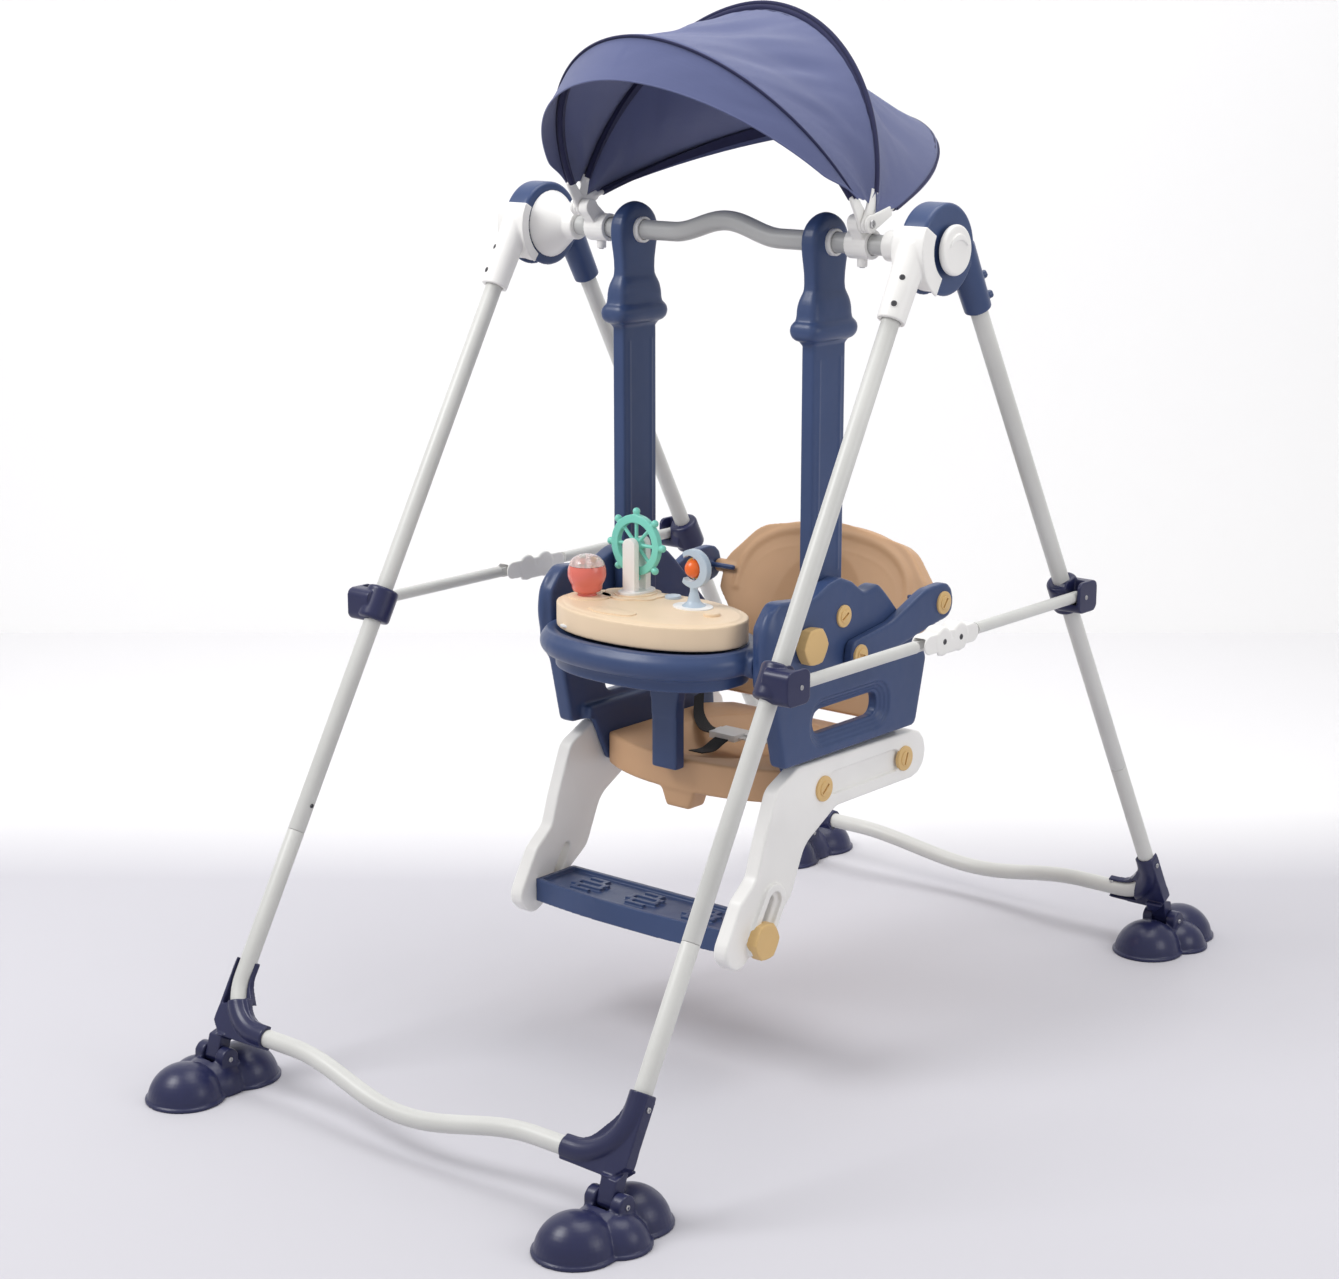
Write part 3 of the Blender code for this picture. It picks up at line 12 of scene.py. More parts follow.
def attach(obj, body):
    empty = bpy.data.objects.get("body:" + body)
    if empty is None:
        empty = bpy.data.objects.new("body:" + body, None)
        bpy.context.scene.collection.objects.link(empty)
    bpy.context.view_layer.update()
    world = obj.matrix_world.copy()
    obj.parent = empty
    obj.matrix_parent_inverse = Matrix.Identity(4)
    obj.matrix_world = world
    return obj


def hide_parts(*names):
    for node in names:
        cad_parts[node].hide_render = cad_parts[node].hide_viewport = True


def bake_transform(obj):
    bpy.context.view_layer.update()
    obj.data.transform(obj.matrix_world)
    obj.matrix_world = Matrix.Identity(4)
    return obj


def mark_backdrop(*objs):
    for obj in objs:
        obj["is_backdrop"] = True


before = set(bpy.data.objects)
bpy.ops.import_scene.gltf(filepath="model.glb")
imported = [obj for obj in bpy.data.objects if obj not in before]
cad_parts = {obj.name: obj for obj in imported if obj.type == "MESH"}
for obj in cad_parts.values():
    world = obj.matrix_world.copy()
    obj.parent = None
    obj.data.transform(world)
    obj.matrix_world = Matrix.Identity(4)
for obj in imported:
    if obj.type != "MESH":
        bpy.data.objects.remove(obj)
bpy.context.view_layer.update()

SIDES = (("left", -1), ("right", 1))
ENDS = (("front", -1), ("rear", 1))
FACES = (("in", -1), ("out", 1))

# Sizes of the frame. A share is a place along a leg, from 0 at the hub to 1 at the base tube's corner.
HUB_Z = 1.026
LEG_OFFSET = 0.0474
LEG_TOP_X = 0.314
LEG_FOOT_X = 0.323
CORNER_Y = 0.583
CORNER_Z = 0.0756
LEG_R = 0.011
LEG_TOP_SHARE = 0.034
SOCKET_END_SHARE = 0.081
LEG_JOINT_SHARE = 0.768
PIN_SHARE = 0.032
BEND_R = 0.062
RAIL_DROP = 0.030
RAIL_DIP_X = 0.200
TUBE_EASE = 0.0007
SEAM = 0.0004
DRUM_R = 0.0545
CORE_R = 0.050
CORE_IN_X = 0.3015
CORE_OUT_X = 0.3265
RIM_T = 0.005
RIM_IN_X = CORE_IN_X - SEAM - RIM_T
RIM_OUT_X = CORE_OUT_X + SEAM + RIM_T
COVER_IN = 0.0046
COVER_OUT = 0.0048
SOCKET_R = 0.0178
BAR_R = 0.0125
BAR_RISE = 0.018
BAR_HUMP_X = 0.085
BAR_END_X = 0.31
BRACE_X = 0.340
BRACE_R = 0.0075
BRACE_SHARE = 0.4884
BRACE_PIVOT_Y = 0.300
RIVET_Y = 0.0165
FOOT_X = 0.321
FOOT_Y = 0.608
FOOT_DOME_R = 0.0465
FOOT_DOME_STEP = 0.046
FOOT_DOME_H = 0.045
FOOT_PIN_Y = 0.600
FOOT_PIN_Z = 0.040

# Sizes of the canopy. Bows are given by their lean in degrees and their reach.
CANOPY_Y = -0.020
CANOPY_Z = 1.052
CANOPY_HALF = 0.2285
CANOPY_POWER = 1.92
CLIP_X = 0.208
BOW_REACH = {"front": (-35.7, 0.264), "middle": (18.9, 0.264), "rear": (71.0, 0.350)}
BOW_SHIFT = {"front": -0.0049, "middle": 0.0, "rear": 0.0049}
VISOR_DEG = -50.0
VISOR_REACH = 0.256
CLOTH_OUT = 0.0056
CLOTH_UP = 0.0052
CLOTH_STEPS = 132
CLOTH_END = 0.05
SEAM_SHARE = 1.03

# Sizes of the seat and tray
HANGER_X = 0.1521
PANEL_OUT_X = 0.1865
LINK_OUT_X = 0.2009
LEG_PART_OUT_X = 0.1804
PAN_TOP_Z = 0.372
PAN_BOTTOM_Z = 0.328
BACK_WING_X = 0.1705
BACK_LEAN_DEG = 20.0
STRAP_WIDTH = 0.022
FOOTREST_Y = -0.157
FOOTREST_Z = 0.184
TRAY_PIVOT = (-0.072, 0.542)
TRAY_Y = -0.147
TRAY_TOP_Z = 0.575
WHEEL = Vector((-0.064, -0.100, 0.640))
BALL = Vector((0.040, -0.112, 0.625))
DOME = Vector((-0.104, -0.150, TRAY_TOP_Z))

# Sections of a hanging arm: height, half its depth, half its width, and how square it is
HANGER_SECTIONS = (
    (0.5050, 0.0325, 0.0100, 12), (0.9020, 0.0325, 0.0100, 12), (0.9070, 0.0365, 0.0135, 7),
    (0.9090, 0.0425, 0.0185, 5), (0.9125, 0.0460, 0.0218, 4.6), (0.9165, 0.0475, 0.0234, 4.6),
    (0.9210, 0.0480, 0.0240, 4.6), (0.9260, 0.0472, 0.0232, 4.6), (0.9295, 0.0452, 0.0210, 4.6),
    (0.9325, 0.0420, 0.0182, 4.8), (0.9380, 0.0408, 0.0176, 4.8), (0.9460, 0.0402, 0.0174, 4.8),
    (0.9530, 0.0390, 0.0166, 4.6), (0.9580, 0.0374, 0.0156, 4.4), (0.9620, 0.0355, 0.0142, 4.4),
    (0.9655, 0.0336, 0.0126, 4.8), (0.9690, 0.0322, 0.0112, 5.5), (0.9760, 0.0316, 0.0106, 6),
    (0.9880, 0.0322, 0.0106, 6), (0.9980, 0.0336, 0.0110, 6), (1.0080, 0.0352, 0.0115, 6),
    (1.0170, 0.0364, 0.0119, 6), (1.0260, 0.0366, 0.0121, 6), (1.0340, 0.0354, 0.0121, 6),
    (1.0410, 0.0328, 0.0119, 5.5), (1.0470, 0.0290, 0.0113, 5), (1.0520, 0.0242, 0.0104, 4.4),
    (1.0560, 0.0186, 0.0090, 3.8), (1.0588, 0.0132, 0.0072, 3.2), (1.0606, 0.0076, 0.0048, 2.6),
    (1.0615, 0.0030, 0.0020, 2.0),
)


# Finishes

class Wire:
    """A value in a material's node tree that takes part in Python expressions."""

    def __init__(self, finish, socket):
        self.finish = finish
        self.socket = socket

    def work(self, operation, first, second):
        return self.finish.node("ShaderNodeMath", {"operation": operation}, {0: first, 1: second})

    def __add__(self, other):
        return self.work("ADD", self, other)

    __radd__ = __add__

    def __mul__(self, other):
        return self.work("MULTIPLY", self, other)

    __rmul__ = __mul__

    def __sub__(self, other):
        return self.work("SUBTRACT", self, other)

    def __rsub__(self, other):
        return self.work("SUBTRACT", other, self)

    def between(self, low, high):
        """0 below low, 1 above high, and an even rise between them."""
        span = {0: self, 1: low, 2: high, 3: 0.0, 4: 1.0}
        return self.finish.node("ShaderNodeMapRange", {"clamp": True}, span)


class Finish:
    """A procedural material for one of the chair's finishes."""

    def __init__(self, name, values):
        self.name = name
        self.material = bpy.data.materials.new(name)
        self.material.use_nodes = True
        self.tree = self.material.node_tree
        self.shader = self.tree.nodes["Principled BSDF"]
        for socket, value in values.items():
            self.shader.inputs[socket].default_value = value

    def node(self, kind, settings, inputs, output=0):
        made = self.tree.nodes.new(kind)
        for name, value in settings.items():
            setattr(made, name, value)
        for name, value in inputs.items():
            self.put(made.inputs[name], value)
        return Wire(self, made.outputs[output])

    def put(self, socket, value):
        if isinstance(value, Wire):
            self.tree.links.new(value.socket, socket)
        else:
            socket.default_value = value

    def feed(self, **sockets):
        for name, value in sockets.items():
            self.put(self.shader.inputs[name.replace("_", " ")], value)

    def place(self, output="Object"):
        return self.node("ShaderNodeTexCoord", {}, {}, output)

    def stretch(self, where, scale):
        return self.node("ShaderNodeMapping", {}, {"Vector": where, "Scale": scale})

    def mottle(self, where, scale, detail=2.0):
        return self.node("ShaderNodeTexNoise", {}, {"Vector": where, "Scale": scale, "Detail": detail})

    def mix(self, share, first, second):
        return self.node("ShaderNodeMix", {"data_type": "RGBA"}, {0: share, 6: first, 7: second}, 2)

    def bump(self, height, distance, under=None):
        inputs = {"Height": height, "Distance": distance, "Strength": 1.0}
        if under is not None:
            inputs["Normal"] = under
        return self.node("ShaderNodeBump", {}, inputs)


def tint(colour, factor):
    return (*(min(1.0, channel * factor) for channel in colour), 1.0)


def moulded(name, colour, roughness, ripple=0.0003, coat=0.0, worn=0.10):
    """Moulded plastic: slow ripples from the mould, fine grain, cloudy sheen and faint rub marks."""
    finish = Finish(name, {"Coat Weight": coat, "Coat Roughness": 0.25, "Specular IOR Level": 0.45})
    where = finish.place()
    cloud = finish.mottle(where, 6.0, 3.0)
    swell = finish.mottle(where, 32.0, 1.0)
    speck = finish.mottle(where, 850.0)
    rubbed = finish.mottle(finish.stretch(where, (90.0, 60.0, 14.0)), 1.0, 5.0).between(0.60, 0.74)
    tone = finish.mix(cloud.between(0.3, 0.7), tint(colour, 0.92), tint(colour, 1.07))
    finish.feed(
        Base_Color=finish.mix(rubbed * worn, tone, tint(colour, 1.35)),
        Roughness=roughness - 0.06 + 0.12 * cloud + 0.10 * rubbed,
        Normal=finish.bump(speck, 0.00006, finish.bump(swell, ripple)),
    )
    return finish


def coated(name, colour, roughness):
    """Powder-coated tube: fine orange peel, dark specks and a slight drift of tone."""
    finish = Finish(name, {"Coat Weight": 0.15, "Coat Roughness": 0.3})
    where = finish.place()
    cloud = finish.mottle(where, 9.0, 3.0)
    peel = finish.mottle(where, 420.0, 1.0)
    speck = finish.mottle(where, 1500.0)
    tone = finish.mix(cloud.between(0.3, 0.7), tint(colour, 0.95), tint(colour, 1.05))
    finish.feed(
        Base_Color=finish.mix(speck.between(0.62, 0.72) * 0.25, tone, tint(colour, 0.7)),
        Roughness=roughness + 0.14 * (cloud - 0.5),
        Normal=finish.bump(speck, 0.00004, finish.bump(peel, 0.00012)),
    )
    return finish


# Width of one band of the wave texture at a scale of 1
WAVE_BAND = 0.314


def woven(name, colour, pitch, sheen=0.25):
    """Plain weave, with UVs in metres: warp and weft bands, slubs, and a slow drift of tone."""
    finish = Finish(name, {"Sheen Weight": sheen, "Sheen Roughness": 0.45, "Specular IOR Level": 0.25})
    where = finish.place("UV")
    warp, weft = (finish.node("ShaderNodeTexWave", {"wave_profile": "SIN", "bands_direction": way},
                              {"Vector": where, "Scale": WAVE_BAND / pitch}, "Fac") for way in "XY")
    slub = finish.mottle(finish.stretch(where, (12.0, 320.0, 1.0)), 1.0, 3.0)
    cloud = finish.mottle(finish.place(), 5.0, 3.0)
    yarn = (warp + weft) * 0.5
    tone = finish.mix(cloud.between(0.3, 0.7), tint(colour, 0.94), tint(colour, 1.06))
    tone = finish.mix(slub.between(0.5, 0.75) * 0.3, tone, tint(colour, 1.15))
    finish.feed(
        Base_Color=finish.mix((1.0 - yarn) * 0.28, tone, tint(colour, 0.45)),
        Roughness=0.78 + 0.12 * slub,
        Normal=finish.bump(yarn + slub * 0.5, 0.00018),
    )
    return finish


def bright_metal(name, colour, roughness):
    """Turned screw metal with fine brush marks."""
    finish = Finish(name, {"Metallic": 1.0})
    brushed = finish.mottle(finish.stretch(finish.place(), (2200.0, 300.0, 300.0)), 1.0)
    finish.feed(
        Base_Color=finish.mix(brushed, tint(colour, 0.85), tint(colour, 1.1)),
        Roughness=roughness + 0.1 * brushed,
        Normal=finish.bump(brushed, 0.00003),
    )
    return finish


def clear_shell(name):
    """The see-through cap of the rattle."""
    finish = Finish(name, {"Transmission Weight": 0.55, "IOR": 1.3, "Coat Weight": 0.4})
    haze = finish.mottle(finish.place(), 60.0)
    finish.feed(
        Base_Color=finish.mix(haze, (0.95, 0.84, 0.82, 1.0), (0.90, 0.66, 0.62, 1.0)),
        Roughness=0.08 + 0.08 * haze,
    )
    return finish


FINISHES = {finish.name: finish for finish in (
    moulded("seat_blue", (0.038, 0.067, 0.166), 0.36, ripple=0.0008),
    moulded("frame_navy", (0.017, 0.020, 0.070), 0.32, ripple=0.0004),
    coated("leg_grey", (0.610, 0.612, 0.590), 0.38),
    coated("bar_grey", (0.480, 0.485, 0.480), 0.42),
    moulded("white", (0.870, 0.862, 0.840), 0.36, worn=0.02),
    moulded("beige", (0.620, 0.375, 0.210), 0.48, ripple=0.0006, worn=0.05),
    moulded("tray_beige", (0.830, 0.650, 0.455), 0.46, ripple=0.0005, worn=0.04),
    moulded("knob_yellow", (0.700, 0.470, 0.200), 0.38, worn=0.05),
    woven("canopy_fabric", (0.112, 0.132, 0.272), 0.0010),
    moulded("mint", (0.210, 0.680, 0.560), 0.30, coat=0.3, worn=0.0),
    moulded("coral", (0.760, 0.170, 0.130), 0.26, coat=0.5, worn=0.0),
    moulded("orange", (0.880, 0.150, 0.015), 0.28, coat=0.4, worn=0.0),
    moulded("pale_blue", (0.480, 0.580, 0.680), 0.30, coat=0.3, worn=0.0),
    moulded("sunny", (0.850, 0.560, 0.050), 0.30, coat=0.4, worn=0.0),
    # Dark cloth of the piping; on the bow sleeves and their inside bands this dark tone is painted shade over
    # the canopy's own cloth.
    woven("piping", (0.028, 0.030, 0.085), 0.0008, sheen=0.1),
    woven("black_webbing", (0.018, 0.018, 0.020), 0.0016, sheen=0.1),
    woven("white_webbing", (0.720, 0.700, 0.670), 0.0016, sheen=0.1),
    bright_metal("steel", (0.520, 0.520, 0.530), 0.30),
    bright_metal("dark_steel", (0.120, 0.120, 0.130), 0.35),
    clear_shell("clear_cap"),
)}


# Outlines, as lists of places in a plane

def rounded(corners, steps=8):
    """Points of an outline from corners given as (u, v, radius)."""
    points = []
    for index, (u, v, radius) in enumerate(corners):
        here = Vector((u, v))
        back = Vector(corners[index - 1][:2]) - here
        ahead = Vector(corners[(index + 1) % len(corners)][:2]) - here
        half = back.angle(ahead) / 2
        reach = min(radius / math.tan(half), 0.48 * back.length, 0.48 * ahead.length)
        turn_r = reach * math.tan(half)
        first = here + back.normalized() * reach
        last = here + ahead.normalized() * reach
        middle = here + (back.normalized() + ahead.normalized()).normalized() * (turn_r / math.sin(half))
        start = math.atan2(*(first - middle).yx)
        sweep = (math.atan2(*(last - middle).yx) - start + math.pi) % (2 * math.pi) - math.pi
        for step in range(steps + 1):
            angle = start + sweep * step / steps
            points.append(middle + turn_r * Vector((math.cos(angle), math.sin(angle))))
    return points


def framed(low_u, high_u, low_v, high_v, radius):
    """A rectangle with rounded corners."""
    corners = ((low_u, low_v), (high_u, low_v), (high_u, high_v), (low_u, high_v))
    return rounded([(*corner, radius) for corner in corners])


def arc(radius, from_deg, to_deg, steps, centre=(0.0, HUB_Z)):
    """An arc, about the hub's axis unless a centre is given."""
    points = []
    for step in range(steps + 1):
        angle = math.radians(from_deg + (to_deg - from_deg) * step / steps)
        points.append((centre[0] + radius * math.cos(angle), centre[1] + radius * math.sin(angle)))
    return points


def circle(u, v, radius, steps):
    return arc(radius, 0, 360, steps, (u, v))[:-1]


def capsule(first, second, radius):
    """A slot's outline: half a circle round each of two places."""
    first, second = Vector(first), Vector(second)
    start = math.degrees(math.atan2(*(second - first).yx))
    return arc(radius, start - 90, start + 90, 12, second) + arc(radius, start + 90, start + 270, 12, first)


def signed_power(value, power):
    return math.copysign(abs(value) ** power, value)


def run_lengths(points):
    """How far along a line of points each of them is."""
    lengths = [0.0]
    for before, after in zip(points, points[1:]):
        lengths.append(lengths[-1] + (after - before).length)
    return lengths


# Working solids

def working(data):
    made = bpy.data.objects.new("work", data)
    bpy.context.scene.collection.objects.link(made)
    return made


def from_bmesh(work):
    mesh = bpy.data.meshes.new("work")
    work.to_mesh(mesh)
    work.free()
    return working(mesh)


def settled(obj):
    """The object as a mesh, with its modifiers applied and its own transform in its mesh."""
    bpy.context.view_layer.update()
    graph = bpy.context.evaluated_depsgraph_get()
    mesh = bpy.data.meshes.new_from_object(obj.evaluated_get(graph), depsgraph=graph)
    mesh.transform(obj.matrix_world)
    work = bmesh.new()
    work.from_mesh(mesh)
    bmesh.ops.remove_doubles(work, verts=work.verts, dist=1e-6)
    work.to_mesh(mesh)
    work.free()
    if obj.type == "MESH":
        obj.modifiers.clear()
        obj.data = mesh
        obj.matrix_world = Matrix.Identity(4)
        return obj
    bpy.data.objects.remove(obj, do_unlink=True)
    return working(mesh)


def faced_out(obj):
    work = bmesh.new()
    work.from_mesh(obj.data)
    bmesh.ops.recalc_face_normals(work, faces=work.faces)
    work.to_mesh(obj.data)
    work.free()
    return obj


def box(low, high):
    work = bmesh.new()
    bmesh.ops.create_cube(work, size=1.0)
    low, high = Vector(low), Vector(high)
    for vert in work.verts:
        vert.co = (low + high) / 2 + vert.co * (high - low)
    return from_bmesh(work)


def rod(start, end, radius, sides=48, end_radius=None):
    start, end = Vector(start), Vector(end)
    work = bmesh.new()
    bmesh.ops.create_cone(work, cap_ends=True, segments=sides, radius1=radius, depth=(end - start).length,
                          radius2=radius if end_radius is None else end_radius)
    turn = Vector((0, 0, 1)).rotation_difference(end - start).to_matrix().to_4x4()
    bmesh.ops.transform(work, matrix=Matrix.Translation((start + end) / 2) @ turn, verts=work.verts)
    return from_bmesh(work)


def ball(centre, radii, rings=24, sides=40):
    work = bmesh.new()
    bmesh.ops.create_uvsphere(work, u_segments=sides, v_segments=rings, radius=1.0)
    for vert in work.verts:
        vert.co = Vector(centre) + vert.co * Vector(radii)
    return from_bmesh(work)


def drawn(curve, points, closed):
    """Adds one run of straight pieces to a curve."""
    spline = curve.splines.new("POLY")
    spline.points.add(len(points) - 1)
    for item, point in zip(spline.points, points):
        item.co = (*point, 1)
    spline.use_cyclic_u = closed


# How an outline's plane is turned, so that the plate's thickness lies along an axis
LAY = {
    "x": Matrix(((0, 0, 1, 0), (1, 0, 0, 0), (0, 1, 0, 0), (0, 0, 0, 1))),
    "y": Matrix(((1, 0, 0, 0), (0, 0, -1, 0), (0, 1, 0, 0), (0, 0, 0, 1))),
    "z": Matrix.Identity(4),
}


def plate(outline, low, high, axis="x", holes=()):
    """A flat outline, with holes, made solid along an axis between two places."""
    curve = bpy.data.curves.new("outline", "CURVE")
    curve.dimensions = "2D"
    curve.fill_mode = "BOTH"
    curve.extrude = abs(high - low) / 2
    for points in (outline, *holes):
        drawn(curve, [(u, v, 0) for u, v in points], True)
    made = working(curve)
    shift = Vector((0, 0, 0))
    shift["xyz".index(axis)] = (low + high) / 2
    made.matrix_world = Matrix.Translation(shift) @ LAY[axis]
    return faced_out(settled(made))


def tube(points, radius, resolution=8, closed=False):
    curve = bpy.data.curves.new("run", "CURVE")
    curve.dimensions = "3D"
    curve.bevel_depth = radius
    curve.bevel_resolution = resolution
    curve.use_fill_caps = not closed
    drawn(curve, points, closed)
    return faced_out(settled(working(curve)))


def lofted(rings):
    """A closed form through rings of points, from the lowest ring to the highest."""
    work = bmesh.new()
    rings = [[work.verts.new(point) for point in ring] for ring in rings]
    for low, high in zip(rings, rings[1:]):
        for index in range(len(low)):
            after = (index + 1) % len(low)
            work.faces.new((low[index], low[after], high[after], high[index]))
    work.faces.new(list(reversed(rings[0])))
    work.faces.new(rings[-1])
    return from_bmesh(work)


def turned(profile, centre):
    """A round piece about a vertical line, from (radius, height) points that run up its outside."""
    return lofted([[(*place, centre[2] + height) for place in circle(centre[0], centre[1], radius, 56)]
                   for radius, height in profile])


def woven_grid(rows, place, closed=False):
    """Faces over rows of points, with UVs in metres from place(row, step). Closed rows make a capped tube."""
    work = bmesh.new()
    uv = work.loops.layers.uv.new("cloth")
    verts = [[work.verts.new(point) for point in row] for row in rows]
    count = len(verts[0])
    for row in range(len(verts) - 1):
        for step in range(count if closed else count - 1):
            corners = ((row, step), (row, step + 1), (row + 1, step + 1), (row + 1, step))
            face = work.faces.new([verts[r][s % count] for r, s in corners])
            for loop, corner in zip(face.loops, corners):
                loop[uv].uv = place(*corner)
    if closed:
        work.faces.new(verts[0])
        work.faces.new(list(reversed(verts[-1])))
    return from_bmesh(work)


def thickened(obj, thickness):
    """Cloth or webbing of its real thickness, half of it on each face of the sheet."""
    modifier = obj.modifiers.new("thick", "SOLIDIFY")
    modifier.thickness = thickness
    modifier.offset = 0.0
    return settled(obj)


def merged(first, *others):
    """Several solids in one mesh, for the moulded skin to run over."""
    work = bmesh.new()
    for obj in (first, *others):
        work.from_mesh(obj.data)
    work.to_mesh(first.data)
    work.free()
    for obj in others:
        bpy.data.objects.remove(obj, do_unlink=True)
    return first


def cut(base, *others, operation="DIFFERENCE"):
    for other in others:
        modifier = base.modifiers.new("cut", "BOOLEAN")
        modifier.object = other
        modifier.operation = operation
        settled(base)
        bpy.data.objects.remove(other, do_unlink=True)
    return base


def joined(base, *others):
    return cut(base, *others, operation="UNION")


def turned_over(obj, side):
    """The piece as it is on the right, or its mirror image for the left."""
    if side > 0:
        return obj
    work = bmesh.new()
    work.from_mesh(obj.data)
    for vert in work.verts:
        vert.co.x = -vert.co.x
    bmesh.ops.reverse_faces(work, faces=work.faces)
    work.to_mesh(obj.data)
    work.free()
    return obj


def eased(obj, width, segments=3):
    """Rounded edges on a crisp solid."""
    modifier = obj.modifiers.new("edges", "BEVEL")
    modifier.width = width
    modifier.segments = segments
    modifier.limit_method = "ANGLE"
    modifier.angle_limit = math.radians(32)
    return settled(obj)


def skinned(obj, voxel, passes, keep=0.4):
    """One moulded skin over a solid, with its corners and joins melted together and its faces thinned out."""
    skin = obj.modifiers.new("skin", "REMESH")
    skin.mode = "VOXEL"
    skin.voxel_size = voxel * 1.0
    melt = obj.modifiers.new("melt", "SMOOTH")
    melt.factor = 0.5
    melt.iterations = passes
    thin = obj.modifiers.new("thin", "DECIMATE")
    thin.ratio = keep
    return settled(obj)


def cast(node):
    """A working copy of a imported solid."""
    return settled(working(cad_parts[node].data.copy()))


# Finished pieces

def shown(obj, name, body, slot, sharp=50):
    obj.name = name
    obj.data.name = name
    obj.data.materials.clear()
    obj.data.materials.append(FINISHES[slot].material)
    obj.data.shade_smooth()
    obj.data.set_sharp_from_angle(angle=math.radians(sharp))
    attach(obj, body)


def dress(obj, node, body, slot, sharp=50):
    """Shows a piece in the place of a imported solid."""
    shown(obj, "fine_" + node, body, slot, sharp)
    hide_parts(node)


def recast(node, body, slot, voxel, passes):
    """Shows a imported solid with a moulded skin."""
    dress(skinned(cast(node), voxel, passes), node, body, slot)


def screw(centre, out, radius, name, body, slot="steel", depth=0.0012):
    """A pan-headed screw with a cross recess, facing along out."""
    head = eased(rod((0, 0, -0.001), (0, 0, depth), radius, 24), radius * 0.25, 2)
    for half_x, half_y in ((radius * 0.62, radius * 0.14), (radius * 0.14, radius * 0.62)):
        cut(head, box((-half_x, -half_y, depth * 0.3), (half_x, half_y, depth * 2)))
    turn = Vector((0, 0, 1)).rotation_difference(Vector(out).normalized()).to_matrix().to_4x4()
    head.data.transform(Matrix.Translation(Vector(centre)) @ turn)
    shown(head, name, body, slot, sharp=30)


def coin_screw(side, x, y, z, radius, angle, name, body):
    """A large slotted cap screw of beige plastic, on the side's outer face."""
    head = eased(rod((x - 0.002, y, z), (x + 0.0034, y, z), radius), 0.0012, 3)
    joined(head, eased(rod((x + 0.002, y, z), (x + 0.0046, y, z), radius * 0.62, 40), 0.0008, 2))
    groove = box((x + 0.0022, y - radius * 0.5, z - 0.0016), (x + 0.01, y + radius * 0.5, z + 0.0016))
    pivot = Matrix.Translation((x, y, z))
    groove.data.transform(pivot @ Matrix.Rotation(math.radians(angle), 4, "X") @ pivot.inverted())
    cut(head, groove)
    shown(turned_over(head, side), name, body, "knob_yellow", sharp=35)


# Legs, base rails and top bar

def leg_point(side, end, share):
    """A point of a leg's middle line."""
    top = Vector((side * LEG_TOP_X, end * LEG_OFFSET, HUB_Z))
    return top.lerp(Vector((side * LEG_FOOT_X, end * CORNER_Y, CORNER_Z)), share)


def leg_way(side, end):
    return (leg_point(side, end, 1) - leg_point(side, end, 0)).normalized()


def corner_bend(end, steps=18):
    """Points of the base tube's bend at the right corner, from the leg to the rail."""
    down, corner = leg_way(1, end), leg_point(1, end, 1)
    inward = Vector((-1, 0, 0))
    turn = down.angle(inward)
    start = corner - down * BEND_R * math.tan(turn / 2)
    normal = (inward - inward.project(down)).normalized()
    bend = []
    for step in range(steps + 1):
        angle = turn * step / steps
        bend.append(start + normal * BEND_R * (1 - math.cos(angle)) + down * BEND_R * math.sin(angle))
    return bend


def humped(x, reach, rise):
    """Height of a soft hump of the given rise that dies away at reach on each side."""
    return rise * (0.5 + 0.5 * math.cos(math.pi * x / reach)) if abs(x) < reach else 0.0


def base_line(end):
    corner, down = leg_point(1, end, 1), leg_way(1, end)
    slope = Vector((0, down.y, down.z)).normalized()
    rail = []
    for step in range(41):
        x = RAIL_DIP_X * (1 - 2 * step / 40)
        rail.append(Vector((x, corner.y, corner.z)) + slope * humped(x, RAIL_DIP_X, RAIL_DROP))
    right = [leg_point(1, end, LEG_JOINT_SHARE) + down * SEAM, *corner_bend(end)]
    return right + rail + [Vector((-point.x, point.y, point.z)) for point in reversed(right)]


for end_name, end in ENDS:
    body = end_name + "_frame"
    dress(eased(tube(base_line(end), LEG_R, 10), TUBE_EASE, 2), "base_rail_" + end_name, body, "leg_grey")
    for side_name, side in SIDES:
        where = "%s_%s" % (end_name, side_name)
        leg = rod(leg_point(side, end, LEG_TOP_SHARE), leg_point(side, end, LEG_JOINT_SHARE), LEG_R)
        dress(eased(leg, TUBE_EASE, 2), "upper_leg_" + where, body, "leg_grey")
        dimple = leg_point(side, end, LEG_JOINT_SHARE - PIN_SHARE) + Vector((-side * LEG_R, 0, 0))
        screw(dimple, (-side, 0, 0), 0.0028, "leg_pin_" + where, body, "dark_steel")

bar_steps = (-BAR_END_X, *[BAR_HUMP_X * (step / 20 - 1) for step in range(41)], BAR_END_X)
bar_line = [(x, 0, HUB_Z + humped(x, BAR_HUMP_X, BAR_RISE)) for x in bar_steps]
dress(tube(bar_line, BAR_R, 10), "top_bar", "front_frame", "bar_grey")


# Hubs

def drum(radius, low, high, sides=96):
    return rod((low, 0, HUB_Z), (high, 0, HUB_Z), radius, sides)


def sector(from_deg, to_deg, inner, outer, low, high):
    """A curved block about the hub's axis."""
    return plate(arc(outer, from_deg, to_deg, 24) + arc(inner, to_deg, from_deg, 24), low, high)


def socket(end, start_share):
    start, stop = leg_point(1, end, start_share), leg_point(1, end, SOCKET_END_SHARE)
    made = rod(start, stop, SOCKET_R + 0.0012, 48, SOCKET_R - 0.0008)
    bore = rod(leg_point(1, end, 0.062), stop + leg_way(1, end) * 0.01, LEG_R + SEAM)
    return made, bore


